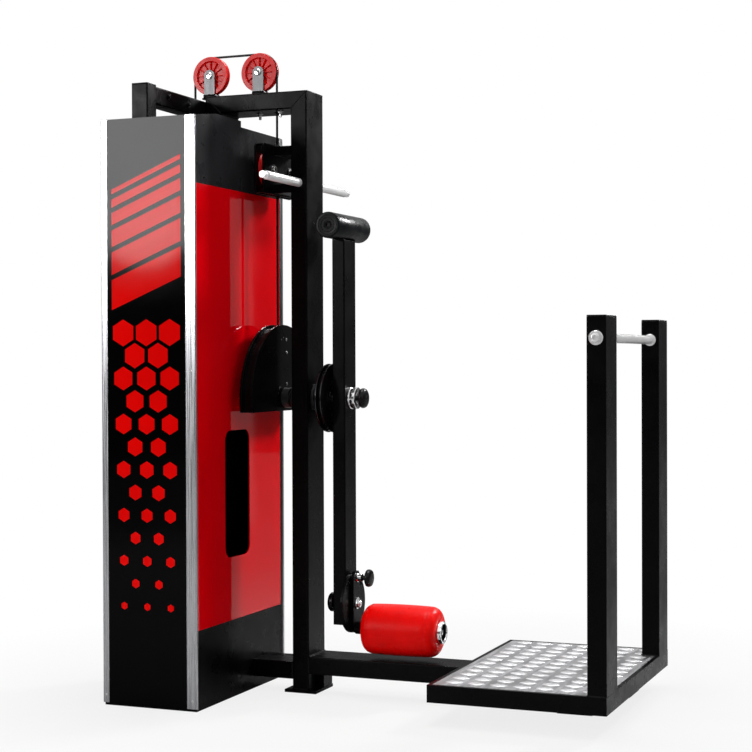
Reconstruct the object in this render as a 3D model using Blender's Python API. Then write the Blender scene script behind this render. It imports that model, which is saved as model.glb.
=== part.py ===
"""Standing hip trainer: frame, weight tower, swinging roller arm, step platform.

Metres, +Z up. The origin is on the floor below the middle of the main post.
+X runs from the weight tower to the platform, -Y is the side with the front panel.
"""
import math

import bmesh
import bpy
from mathutils import Matrix, Vector

for old in list(bpy.data.objects):
    bpy.data.objects.remove(old, do_unlink=True)

# Clearances
GAP = 0.0003            # between touching pieces
WELD = 0.002            # how far a welded piece stands in from an edge
RUN = 0.001             # between pieces that pass each other
CABLE_CLEAR = 0.008     # round the cable where it passes a sheet or a tube
MERGE = 1e-6            # points closer than this are one point
EDGE_EASE = 0.002       # on the ends of chrome bars
BOLT_HEAD = 2.0         # an axle bolt's head radius and thickness, in shank radii
BOLT_HEAD_T = 1.2

# Steel tube of the frame
TUBE_W = 0.060
TUBE_D = 0.140
TUBE_WALL = 0.003
TUBE_CORNER = 0.004
FRAME_TOP = 2.050
SIDE_POST_X = -0.325    # middle of the post inside the tower
POST_BORE_CLEAR = 0.010 # round the shaft where it passes the main post

# Base
FOOT_W = 0.116
FOOT_D = 0.148
FOOT_PLATE_T = 0.010
FOOT_H = 0.065          # floor to underside of the base beam
LINK_DROP = 0.020       # the beam into the tower lies lower

# Platform
PLAT_X0 = 0.570
PLAT_X1 = 1.140
PLAT_Y0 = -0.380
PLAT_Y1 = 0.500
PLAT_TOP = 0.125
RAIL_H = 0.055
RAIL_W = 0.040
TREAD_T = 0.005
TREAD_SIDE = 0.014      # dark rim of the frame left beside the plate
PLAT_FOOT_X = 0.960
PLAT_POST_TOP = 1.262
HANDLE_DROP = 0.064     # the bar's axis below the posts' tops
HANDLE_R = 0.0145
HANDLE_BOLT_R = 0.014
HANDLE_BOLT_L = 0.020
HANDLE_BOLT_EASE = 0.004
WASHER_R = 0.022
WASHER_T = 0.005

# Grips on the main post
GRIP_DROP = 0.313       # below the top of the frame
GRIP_R = 0.0145
GRIP_L = 0.285
GRIP_CAP_R = 0.012      # the cap at a grip's outer end, and the neck behind it
GRIP_CAP_L = 0.014
GRIP_NECK_R = 0.009
GRIP_NECK_L = 0.018

# Weight tower
TOWER_X0 = -0.530
TOWER_X1 = -0.180
TOWER_Y0 = -0.475
TOWER_Y1 = 0.190
TOWER_Z0 = 0.008
TOWER_TOP = 1.925
PANEL_T = 0.004
PROFILE_NARROW = 0.023
PROFILE_WIDE = 0.038
PROFILE_DEPTH = 0.032
PROFILE_LIP = 0.006     # side edge of the wide profile, where the side panels meet it
PROFILE_EASE = 0.003
KICK_TOP = 0.262
UPPER_PLATE_H = 0.219
CREST_RISE = 0.021      # raised middle of the upper side plate
CREST_Y0 = -0.325
CREST_Y1 = -0.144
SLOT_Y0 = -0.273
SLOT_Y1 = -0.089
SLOT_LOW = 0.002        # the slot's ends, below the stack's foot and above its top
SLOT_HIGH = 0.004
SLOT_CORNER = 0.035     # radius of the hand slot's corners
FRONT_POST_W = 0.060
DEPTH_BEAM_DROP = 0.015 # below the top of the frame

# Top pulleys and cable
CABLE_R = 0.004
PULLEY_RIM = 0.067
PULLEY_GROOVE = 0.060
PULLEY_W = 0.024
PULLEY_RISE = 0.082     # the pulleys' axes above the frame
PULLEY_LEFT_X = -0.366
PULLEY_RIGHT_X = -0.177
BRACKET_W = 0.041
BRACKET_T = 0.005
BRACKET_BASE = 0.008
BRACKET_STEPS = 8       # sides of a bracket's round top
AXLE_R = 0.006
LIP_SHARE = 0.25        # a pulley's lip and groove floor, as shares of its half width
PULLEY_RIBS = 12
PULLEY_HUB_R = 0.017
PULLEY_RING_T = 0.009   # between the pockets and the groove
PULLEY_WEB_T = 0.006    # left between the pockets of the two sides
RIB_HALF_W = 0.0015

# Guide pulleys above the cam
GUIDE_RIM = 0.062
GUIDE_GROOVE = 0.056
GUIDE_Y = 0.068
GUIDE_DROP = 0.265      # the guide pulleys' axes below the top of the frame
GUIDE_W = 0.022
GUIDE_PLATE_Y = 0.145
GUIDE_PLATE_H = 0.170
GUIDE_PLATE_T = 0.005
GUIDE_BRACKET_H = 0.030
GUIDE_CORNER = 0.014
SPACER_H = 0.012
SPACER_IN = 0.004       # spacers stand this far in from the plates' ends

# Lever pivot and cam
PIVOT_Z = 1.004
SHAFT_R = 0.020
SHAFT_END = 0.010       # the shaft's end beyond the cam
CAM_R = 0.252
CAM_FLAT = 0.045        # flat edge below the pivot
CAM_PLATE_T = 0.008
CAM_SPACE = 0.030       # clear width between the two plates
CAM_RIM_T = 0.014
CAM_GROOVE = 0.012      # depth of the cable's groove round the rim
BEARING_R = 0.048
BEARING_T = 0.026
DISC_R = 0.117
DISC_X = 0.088
DISC_T = 0.026
DISC_LIP_T = 0.007      # the index disc's two rims, with a groove between them
DISC_LIP_H = 0.012

# Lever arm
ARM_X = 0.136
ARM_W = 0.046
ARM_D = 0.100
ARM_Z0 = 0.240
ARM_TOP = 1.540
ARM_WALL = 0.003
WEIGHT_R = 0.044
WEIGHT_L = 0.276
WEIGHT_EASE = 0.003
WEIGHT_DISH_R = 0.027   # shallow round dish in the weight's front face
WEIGHT_DISH = 0.002
WEIGHT_CORE_R = 0.011   # deeper core in the middle of the dish
WEIGHT_CORE = 0.006
HUB_R = 0.037
HUB_T = 0.028
KNOB_R = 0.034
KNOB_T = 0.022
KNOB_GAP = 0.010
KNOB_STEM_R = 0.009
KNOB_BACK_EASE = 0.005
KNOB_FACE_EASE = 0.007

# Roller at the foot of the arm
ROLLER_PIVOT_RISE = 0.066   # above the arm's lower end
ROLLER_DROP = 0.083     # the roller's axis below the bracket's pivot
ROLLER_R = 0.086
ROLLER_L = 0.265
ROLLER_X0 = 0.215
ROLLER_ROUND = 0.018
ROLLER_CROWN = 0.003    # the roller's middle stands out this far
ROLLER_SHAFT_R = 0.012
ROLLER_COLLAR_R = 0.022
SHAFT_SHORT = 0.008     # the shaft ends this far inside the roller
CAP_R = 0.038
CAP_OUT = 0.015
CAP_SEAT = 0.006
CAP_EASE = 0.006
CAP_DIMPLE_R = 0.011
CAP_DIMPLE = 0.004
LOWER_DISC_R = 0.100
LOWER_DISC_T = 0.010
ROLLER_PLATE_T = 0.010
ROLLER_PLATE_W = 0.060
ROLLER_PLATE_LOW = 0.016    # below the roller's axis
ROLLER_PLATE_HIGH = 0.022   # above the plunger's axis
PLATE_FOOT_CUT_Y = 0.018    # cut corners of the bracket plate
PLATE_FOOT_CUT_Z = 0.030
PLATE_HEAD_CUT_Y = 0.014
PLATE_HEAD_CUT_Z = 0.020
INDEX_HOLES = 7
INDEX_STEP = 15         # degrees between index holes
PLUNGER_REACH = 0.087   # from the bracket's pivot
PLUNGER_R = 0.008
PLUNGER_KNOB_R = 0.030
PLUNGER_KNOB_X = 0.216
PLUNGER_KNOB_T = 0.020
SLEEVE_R = 0.013
SLEEVE_L = 0.020
LOWER_CAP_OUT = 0.032   # the lower bolt's cap, out from the arm's face
LOWER_CAP_R = 0.033
LOWER_CAP_T = 0.020
LOWER_COLLAR = 0.006    # the lower bolt's collar stands out from its shank
LOWER_NUT_R = 0.020
LOWER_NUT_T = 0.011

# Weight stack
STACK_W = 0.136
STACK_D = 0.320
PLATE_T = 0.030
PLATE_GROOVE = 0.003
PLATES = 14
PLATES_LIFTED = 5
STACK_Z0 = 0.475
BUMPER_T = 0.035
STAND_SHEET = 0.006
BUMPER_IN = 0.012
ROD_R = 0.010
ROD_Y = 0.115
ROD_ASIDE = 0.034       # the rods stand aside, so that the pin passes the front one
ROD_DROP = 0.045        # the rods' upper ends below the top of the tower
ROD_BRACKET_IN = 0.020
ROD_BRACKET_T = 0.008
SELECTOR_R = 0.012
SELECTOR_HEAD = 0.090
PIN_R = 0.005
PIN_HEAD = 0.018
PIN_HEAD_L = 0.030

# Worked-out places
HANDLE_Z = PLAT_POST_TOP - HANDLE_DROP
GRIP_Z = FRAME_TOP - GRIP_DROP
ACRYLIC_TOP = TOWER_TOP - UPPER_PLATE_H
CREST_TOP = TOWER_TOP + CREST_RISE
DEPTH_BEAM_TOP = FRAME_TOP - DEPTH_BEAM_DROP
PULLEY_Z = FRAME_TOP + PULLEY_RISE
GUIDE_Z = FRAME_TOP - GUIDE_DROP
GUIDE_PLATE_Z0 = GUIDE_Z - GUIDE_PLATE_H / 2
GUIDE_PLATE_Z1 = GUIDE_Z + GUIDE_PLATE_H / 2
ROD_TOP = TOWER_TOP - ROD_DROP
RISER_TOP = STACK_Z0 - BUMPER_T
ROLLER_PIVOT_Z = ARM_Z0 + ROLLER_PIVOT_RISE
ROLLER_Z = ROLLER_PIVOT_Z - ROLLER_DROP
PLUNGER_Z = ROLLER_PIVOT_Z + PLUNGER_REACH
CABLE_STACK_X = PULLEY_LEFT_X - PULLEY_GROOVE - CABLE_R
CABLE_CAM_X = PULLEY_RIGHT_X + PULLEY_GROOVE + CABLE_R
CAM_X0 = CABLE_CAM_X - CAM_SPACE / 2 - CAM_PLATE_T
CAM_X1 = CABLE_CAM_X + CAM_SPACE / 2 + CAM_PLATE_T
ARM_X0 = ARM_X - ARM_W / 2
ARM_X1 = ARM_X + ARM_W / 2
LOWER_CAP_X = ARM_X0 - LOWER_CAP_OUT
WEIGHT_Z = ARM_TOP + WEIGHT_R
LOWER_DISC_X0 = ARM_X1 + GAP
ROLLER_PLATE_X0 = LOWER_DISC_X0 + LOWER_DISC_T + RUN
ROLLER_PLATE_X1 = ROLLER_PLATE_X0 + ROLLER_PLATE_T
STACK_X0 = CABLE_STACK_X - STACK_W / 2
STACK_X1 = CABLE_STACK_X + STACK_W / 2
STACK_TOP = STACK_Z0 + PLATES * PLATE_T
SLOT_Z0 = STACK_Z0 - SLOT_LOW
SLOT_Z1 = STACK_TOP + SLOT_HIGH
PIN_Z = STACK_Z0 + (PLATES - PLATES_LIFTED + 0.5) * PLATE_T
PLAT_POST_X = PLAT_X1 - TUBE_W / 2
PLAT_FRONT_POST_Y = PLAT_Y0 + TUBE_D / 2
PLAT_REAR_POST_Y = PLAT_Y1 - TUBE_D / 2

BLACK_PAINT = ((0.012, 0.012, 0.014), 0.35, 0.0)
DARK_SHEET = ((0.055, 0.057, 0.062), 0.40, 0.0)
BLACK_GLOSS = ((0.008, 0.008, 0.009), 0.12, 0.0)
BLACK_PLASTIC = ((0.015, 0.015, 0.016), 0.45, 0.0)
RED_PLASTIC = ((0.75, 0.02, 0.015), 0.30, 0.0)
RED_ACRYLIC = ((0.55, 0.005, 0.012), 0.08, 0.0)
RED_VINYL = ((0.80, 0.02, 0.010), 0.25, 0.0)
CHROME = ((0.80, 0.80, 0.80), 0.12, 1.0)
ALUMINIUM = ((0.72, 0.72, 0.73), 0.35, 1.0)
CAST_IRON = ((0.030, 0.030, 0.032), 0.60, 0.6)
RUBBER = ((0.020, 0.020, 0.020), 0.80, 0.0)
CABLE_COAT = ((0.010, 0.010, 0.010), 0.35, 0.0)


def finish(obj, look):
    """Give an object its own Principled material."""
    colour, roughness, metallic = look
    material = bpy.data.materials.new(obj.name)
    material.use_nodes = True
    shader = material.node_tree.nodes["Principled BSDF"]
    shader.inputs["Base Color"].default_value = (*colour, 1.0)
    shader.inputs["Roughness"].default_value = roughness
    shader.inputs["Metallic"].default_value = metallic
    obj.data.materials.append(material)


def make(name, bm, look, smooth=True):
    """Turn a bmesh into a named object with outward faces."""
    bmesh.ops.recalc_face_normals(bm, faces=bm.faces[:])
    mesh = bpy.data.meshes.new(name)
    bm.to_mesh(mesh)
    bm.free()
    obj = bpy.data.objects.new(name, mesh)
    bpy.context.scene.collection.objects.link(obj)
    if smooth:
        mesh.shade_smooth()
        mesh.set_sharp_from_angle(angle=math.radians(35))
    finish(obj, look)
    return obj


def add_box(bm, x0, x1, y0, y1, z0, z1):
    """A plain block between two corners."""
    size = Matrix.Diagonal((x1 - x0, y1 - y0, z1 - z0, 1.0))
    place = Matrix.Translation(((x0 + x1) / 2, (y0 + y1) / 2, (z0 + z1) / 2))
    bmesh.ops.create_cube(bm, size=1.0, matrix=place @ size)


def box(name, look, x0, x1, y0, y1, z0, z1):
    bm = bmesh.new()
    add_box(bm, x0, x1, y0, y1, z0, z1)
    return make(name, bm, look)


TURN = {
    "X": Matrix.Rotation(math.radians(90), 4, "Y"),
    "Y": Matrix.Rotation(math.radians(-90), 4, "X"),
    "Z": Matrix.Identity(4),
}


def add_turned(bm, profile, axis, centre, segments=32):
    """Spin a closed (radius, length) profile about an axis through a centre.

    A profile that starts and ends on the axis makes a solid piece, any other a ring."""
    solid = abs(profile[0][0]) < MERGE and abs(profile[-1][0]) < MERGE
    local = bmesh.new()
    verts = [local.verts.new((radius, 0.0, length)) for radius, length in profile]
    pairs = list(zip(verts, verts[1:]))
    if not solid:
        pairs.append((verts[-1], verts[0]))
    edges = [local.edges.new(pair) for pair in pairs]
    bmesh.ops.spin(
        local, geom=verts + edges, cent=(0, 0, 0), axis=(0, 0, 1),
        angle=math.tau, steps=segments, use_merge=True)
    bmesh.ops.remove_doubles(local, verts=local.verts[:], dist=MERGE)
    local.transform(Matrix.Translation(centre) @ TURN[axis])
    mesh = bpy.data.meshes.new("turned")
    local.to_mesh(mesh)
    local.free()
    bm.from_mesh(mesh)
    bpy.data.meshes.remove(mesh)


def turned(name, look, profile, axis, centre, segments=32):
    bm = bmesh.new()
    add_turned(bm, profile, axis, centre, segments)
    return make(name, bm, look)


def rod_profile(radius, low, high, edge=0.0):
    """Profile of a solid bar from low to high, with its end edges eased."""
    if edge <= 0.0:
        return [(0, low), (radius, low), (radius, high), (0, high)]
    return [
        (0, low), (radius - edge, low), (radius, low + edge),
        (radius, high - edge), (radius - edge, high), (0, high)]


def ring_profile(inner, outer, low, high):
    return [(inner, low), (outer, low), (outer, high), (inner, high)]


def add_rod(bm, radius, axis, centre, low, high, edge=0.0, segments=24):
    add_turned(bm, rod_profile(radius, low, high, edge), axis, centre, segments)


def rounded_outline(width, depth, radius, steps=2):
    """Points round a rectangle with rounded corners, anticlockwise."""
    points = []
    corners = ((1, 1, 0), (-1, 1, 90), (-1, -1, 180), (1, -1, 270))
    for sign_u, sign_v, start in corners:
        for step in range(steps + 1):
            angle = math.radians(start + 90 * step / steps)
            u = sign_u * (width / 2 - radius) + radius * math.cos(angle)
            v = sign_v * (depth / 2 - radius) + radius * math.sin(angle)
            points.append((u, v))
    return points


def add_tube(bm, axis, centre, width, depth, low, high, wall, low_slope=0.0, high_slope=0.0):
    """A rectangular tube with rounded edges; a slope mitres an end along the first
    cross-section direction for an upright tube and the second for a level one."""
    outer = rounded_outline(width, depth, TUBE_CORNER)
    inner = rounded_outline(width - 2 * wall, depth - 2 * wall, TUBE_CORNER / 4)
    cu, cv = centre

    def place(u, v, end, slope):
        if axis == "Z":
            return (cu + u, cv + v, end + slope * u)
        if axis == "X":
            return (end + slope * v, cu + u, cv + v)
        return (cu + u, end, cv + v)

    rings = []
    for outline, end, slope in (
            (outer, low, low_slope), (outer, high, high_slope),
            (inner, high, high_slope), (inner, low, low_slope)):
        rings.append([bm.verts.new(place(u, v, end, slope)) for u, v in outline])
    count = len(outer)
    for index, ring in enumerate(rings):
        following = rings[(index + 1) % len(rings)]
        for k in range(count):
            n = (k + 1) % count
            bm.faces.new((ring[k], ring[n], following[n], following[k]))


def tube(name, axis, centre, width, depth, low, high, look=BLACK_PAINT, wall=TUBE_WALL,
         low_slope=0.0, high_slope=0.0):
    bm = bmesh.new()
    add_tube(bm, axis, centre, width, depth, low, high, wall, low_slope, high_slope)
    return make(name, bm, look)


def add_plate(bm, outline, x0, x1):
    """A flat plate in the YZ plane, from its outline and its two faces."""
    near = [bm.verts.new((x1, y, z)) for y, z in outline]
    far = [bm.verts.new((x0, y, z)) for y, z in outline]
    bm.faces.new(near)
    bm.faces.new(list(reversed(far)))
    count = len(outline)
    for k in range(count):
        n = (k + 1) % count
        bm.faces.new((near[n], near[k], far[k], far[n]))


def cut(obj, cutter):
    """Take a cutter's shape out of an object."""
    cutter.hide_render = True
    cutter.display_type = "WIRE"
    modifier = obj.modifiers.new("cut_" + cutter.name, "BOOLEAN")
    modifier.operation = "DIFFERENCE"
    modifier.solver = "EXACT"
    modifier.object = cutter


def cutter_from(name, bm):
    bmesh.ops.recalc_face_normals(bm, faces=bm.faces[:])
    mesh = bpy.data.meshes.new(name)
    bm.to_mesh(mesh)
    bm.free()
    obj = bpy.data.objects.new(name, mesh)
    bpy.context.scene.collection.objects.link(obj)
    return obj


def weld(obj, piece):
    """Join a piece that overlaps an object onto it."""
    piece.hide_render = True
    piece.display_type = "WIRE"
    modifier = obj.modifiers.new("weld_" + piece.name, "BOOLEAN")
    modifier.operation = "UNION"
    modifier.solver = "EXACT"
    modifier.object = piece


def weld_box(obj, label, x0, x1, y0, y1, z0, z1):
    bm = bmesh.new()
    add_box(bm, x0, x1, y0, y1, z0, z1)
    weld(obj, cutter_from(label + "_of_" + obj.name, bm))


def rod_cutter(name, radius, axis, centre, low, high, segments=32):
    bm = bmesh.new()
    add_rod(bm, radius, axis, centre, low, high, segments=segments)
    return cutter_from(name, bm)


def axis_empty(name, place):
    """An empty that stands on a joint's axis."""
    empty = bpy.data.objects.new(name, None)
    empty.location = place
    bpy.context.scene.collection.objects.link(empty)
    return empty


def hang(empty, *objects):
    """Parent objects to an empty and keep them where they are."""
    for obj in objects:
        obj.parent = empty
        obj.matrix_parent_inverse = Matrix.Translation(-empty.location)


# Frame: an upside-down U of mitred tube, its right leg the main post
def build_main_frame():
    top_z = FRAME_TOP - TUBE_W / 2
    post = tube(
        "main_post", "Z", (0, 0), TUBE_W, TUBE_D, FOOT_PLATE_T + GAP, top_z - 2 * GAP, high_slope=1.0)
    bore = rod_cutter(
        "bore_main_post", SHAFT_R + POST_BORE_CLEAR, "X", (0, 0, PIVOT_Z), -TUBE_W, TUBE_W)
    cut(post, bore)
    beam = tube(
        "top_beam", "X", (0, top_z), TUBE_D, TUBE_W, SIDE_POST_X, 0, low_slope=-1.0, high_slope=1.0)
    bore = rod_cutter(
        "bore_cable", CABLE_R + CABLE_CLEAR, "Z", (CABLE_CAM_X, 0, top_z), -TUBE_W, TUBE_W)
    cut(beam, bore)
    tube(
        "stack_side_post", "Z", (SIDE_POST_X, 0), TUBE_W, TUBE_D,
        PANEL_T * 2 + GAP, top_z - 2 * GAP, high_slope=-1.0)


# Base: beam to the platform, lower beam into the tower, feet
def build_base():
    mid = FOOT_H + TUBE_W / 2
    edge = TUBE_W / 2 + GAP
    tube("base_beam", "X", (0, mid), TUBE_D, TUBE_W, edge, PLAT_X0 - GAP)
    tube(
        "link_beam", "X", (0, mid - LINK_DROP), TUBE_D, TUBE_W,
        SIDE_POST_X + TUBE_W / 2 + GAP, -edge)
    inner_low = PLAT_X0 + TUBE_WALL + GAP
    inner_high = PLAT_X1 - TUBE_WALL - GAP
    spine_top = PLAT_TOP - TREAD_T - TUBE_WALL - GAP
    spine = tube(
        "platform_spine", "X", (0, (FOOT_H + spine_top) / 2), TUBE_D, spine_top - FOOT_H,
        inner_low, inner_high)
    weld_box(
        spine, "block", PLAT_FOOT_X - TUBE_W / 2, PLAT_FOOT_X + TUBE_W / 2,
        -FOOT_D / 2 + WELD, FOOT_D / 2 - WELD, FOOT_PLATE_T / 2, FOOT_H + TUBE_WALL / 2)
    weld_box(
        spine, "plate", PLAT_FOOT_X - FOOT_W / 2, PLAT_FOOT_X + FOOT_W / 2, -FOOT_D / 2, FOOT_D / 2,
        0, FOOT_PLATE_T)
    foot = box(
        "main_foot", BLACK_PAINT, -FOOT_W / 2, FOOT_W / 2, -FOOT_D / 2, FOOT_D / 2, 0, FOOT_PLATE_T)
    weld_box(
        foot, "gusset", TUBE_W / 2 + GAP, FOOT_W / 2 - WELD, 0, FOOT_D / 2 - WELD,
        FOOT_PLATE_T / 2, FOOT_H - GAP)


# Platform: rails, tread, two posts and the hand bar between them
def build_platform():
    low = PLAT_TOP - RAIL_H
    shelf = PLAT_TOP - TREAD_T - GAP
    under = PLAT_TOP - TREAD_T - TUBE_WALL
    section = [
        (0, low), (0, PLAT_TOP), (TREAD_SIDE - GAP, PLAT_TOP), (TREAD_SIDE - GAP, shelf),
        (RAIL_W, shelf), (RAIL_W, under), (TUBE_WALL, under), (TUBE_WALL, low)]
    corners = (
        (PLAT_X0, PLAT_Y0, 1, 1), (PLAT_X1, PLAT_Y0, -1, 1),
        (PLAT_X1, PLAT_Y1, -1, -1), (PLAT_X0, PLAT_Y1, 1, -1))
    bm = bmesh.new()
    rings = [
        [bm.verts.new((x + into_x * depth, y + into_y * depth, z)) for depth, z in section]
        for x, y, into_x, into_y in corners]
    for index, ring in enumerate(rings):
        following = rings[(index + 1) % len(rings)]
        for k in range(len(section)):
            n = (k + 1) % len(section)
            bm.faces.new((ring[k], ring[n], following[n], following[k]))
    make("platform_frame", bm, BLACK_PAINT)
    box(
        "tread_plate", ALUMINIUM, PLAT_X0 + TREAD_SIDE, PLAT_X1 - TREAD_SIDE,
        PLAT_Y0 + TREAD_SIDE, PLAT_Y1 - TREAD_SIDE, PLAT_TOP - TREAD_T, PLAT_TOP)
    for end, y in (("front", PLAT_FRONT_POST_Y), ("rear", PLAT_REAR_POST_Y)):
        tube(
            "platform_" + end + "_post", "Z", (PLAT_POST_X, y), TUBE_W, TUBE_D, PLAT_TOP + GAP,
            PLAT_POST_TOP)
    bar_y0 = PLAT_Y0 + TUBE_D + GAP
    bar_y1 = PLAT_Y1 - TUBE_D - GAP
    turned(
        "handle_bar", CHROME, rod_profile(HANDLE_R, bar_y0, bar_y1), "Y", (PLAT_POST_X, 0, HANDLE_Z))


# Chrome grips that stick out of the main post to the front and the back
def build_grips():
    for name, side in (("grip_front", -1), ("grip_rear", 1)):
        face = TUBE_D / 2 + GAP
        end = face + GRIP_L
        neck = end - GRIP_CAP_L
        shoulder = neck - GRIP_NECK_L
        outline = [
            (0, face), (GRIP_R - EDGE_EASE, face), (GRIP_R, face + EDGE_EASE),
            (GRIP_R, shoulder - EDGE_EASE), (GRIP_R - EDGE_EASE, shoulder), (GRIP_NECK_R, shoulder),
            (GRIP_NECK_R, neck), (GRIP_CAP_R, neck), (GRIP_CAP_R, end - EDGE_EASE),
            (GRIP_CAP_R - EDGE_EASE, end), (0, end)]
        turned(name, CHROME, [(radius, side * along) for radius, along in outline], "Y", (0, 0, GRIP_Z), 24)


# Weight tower: base, covers, corner profiles
def build_tower():
    inner_x0 = TOWER_X0 + PANEL_T
    inner_x1 = TOWER_X1 - PANEL_T
    base_top = PANEL_T * 2
    box(
        "tower_base", BLACK_PAINT, inner_x0 + RUN, inner_x1 - RUN, TOWER_Y0 + PANEL_T + RUN,
        TOWER_Y1 - PANEL_T - RUN, 0, base_top)
    wide = PROFILE_WIDE
    slim = PROFILE_NARROW
    deep = PROFILE_DEPTH
    foot = TOWER_Z0 + RUN
    box(
        "front_panel", BLACK_GLOSS, TOWER_X0 + slim + GAP, TOWER_X1 - wide - GAP, TOWER_Y0,
        TOWER_Y0 + PANEL_T, foot, TOWER_TOP)
    left_low = TOWER_Y0 + deep + GAP
    bm = bmesh.new()
    outline = [
        (TOWER_X0, left_low), (inner_x0, left_low), (inner_x0, TOWER_Y1 - PANEL_T),
        (TOWER_X1 - slim - GAP, TOWER_Y1 - PANEL_T), (TOWER_X1 - slim - GAP, TOWER_Y1),
        (TOWER_X0, TOWER_Y1)]
    add_upright(bm, outline, foot, TOWER_TOP)
    make("back_cover", bm, BLACK_PAINT, smooth=False)
    panel_y0 = TOWER_Y0 + PROFILE_LIP + GAP
    panel_y1 = TOWER_Y1 - deep - GAP
    link_mid = FOOT_H + TUBE_W / 2 - LINK_DROP
    kick = box(
        "kick_panel", BLACK_PAINT, inner_x1, TOWER_X1, panel_y0, panel_y1, foot, KICK_TOP - GAP / 2)
    bm = bmesh.new()
    add_box(
        bm, inner_x1 - RUN, TOWER_X1 + RUN, -TUBE_D / 2 - RUN, TUBE_D / 2 + RUN,
        link_mid - TUBE_W / 2 - RUN, link_mid + TUBE_W / 2 + RUN)
    cut(kick, cutter_from("opening_kick", bm))
    acrylic = box(
        "acrylic_panel", RED_ACRYLIC, inner_x1, TOWER_X1, panel_y0, panel_y1,
        KICK_TOP + GAP / 2, ACRYLIC_TOP - GAP / 2)
    slot_w = SLOT_Y1 - SLOT_Y0
    slot_y = (SLOT_Y0 + SLOT_Y1) / 2
    slot_z = (SLOT_Z0 + SLOT_Z1) / 2
    outline = [
        (slot_y + v, slot_z + u)
        for u, v in rounded_outline(SLOT_Z1 - SLOT_Z0, slot_w, SLOT_CORNER, steps=8)]
    bm = bmesh.new()
    add_plate(bm, outline, inner_x1 - RUN, TOWER_X1 + RUN)
    cut(acrylic, cutter_from("slot_acrylic", bm))
    bm = bmesh.new()
    add_plate(bm, [
        (panel_y0, ACRYLIC_TOP + GAP / 2), (panel_y1, ACRYLIC_TOP + GAP / 2), (panel_y1, TOWER_TOP),
        (CREST_Y1, TOWER_TOP), (CREST_Y1, CREST_TOP), (CREST_Y0, CREST_TOP), (panel_y0, TOWER_TOP)],
        inner_x1, TOWER_X1)
    make("upper_side_plate", bm, DARK_SHEET, smooth=False)
    for name, x, y, width, depth, into_x, into_y in (
            ("profile_front_left", TOWER_X0, TOWER_Y0, slim, deep, 1, 1),
            ("profile_front_right", TOWER_X1, TOWER_Y0, wide, PROFILE_LIP, -1, 1),
            ("profile_rear_right", TOWER_X1, TOWER_Y1, slim, deep, -1, -1)):
        bm = bmesh.new()
        add_upright(bm, profile_outline(x, y, width, depth, into_x, into_y), foot, TOWER_TOP)
        make(name, bm, ALUMINIUM)
    upright = tube(
        "tower_front_frame", "Z", (post_x(), front_post_y()), FRONT_POST_W, FRONT_POST_W,
        base_top + GAP, DEPTH_BEAM_TOP)
    bm = bmesh.new()
    add_tube(
        bm, "Y", (post_x(), DEPTH_BEAM_TOP - TUBE_W / 2), FRONT_POST_W - WELD, TUBE_W - WELD,
        front_post_y() + FRONT_POST_W / 2 - TUBE_WALL / 2, TUBE_D / 2, TUBE_WALL)
    weld(upright, cutter_from("depth_beam", bm))


def post_x():
    """Middle of the tower's front post and of the beam that runs back from it."""
    return SIDE_POST_X - TUBE_W / 2 - GAP - FRONT_POST_W / 2


def front_post_y():
    return TOWER_Y0 + PANEL_T + GAP + FRONT_POST_W / 2


def profile_outline(x, y, width, depth, into_x, into_y):
    """An L-shaped corner profile with an eased outer edge, from its outer corner inwards."""
    wall = PANEL_T
    ease = PROFILE_EASE
    round_in = ease * (1 - math.sqrt(0.5))
    points = [
        (round_in, round_in), (ease, 0), (width, 0), (width, wall), (wall, wall),
        (wall, depth), (0, depth), (0, ease)]
    return [(x + into_x * u, y + into_y * v) for u, v in points]


def add_upright(bm, outline, low, high):
    """Extrude an outline in the XY plane upwards."""
    bottom = [bm.verts.new((x, y, low)) for x, y in outline]
    top = [bm.verts.new((x, y, high)) for x, y in outline]
    bm.faces.new(bottom)
    bm.faces.new(top)
    count = len(outline)
    for k in range(count):
        n = (k + 1) % count
        bm.faces.new((bottom[k], bottom[n], top[n], top[k]))


def rod_place(side):
    """Foot of a guide rod: the front one to the left of the middle, the rear one to the right."""
    return (CABLE_STACK_X + side * ROD_ASIDE, side * ROD_Y, 0)


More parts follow.
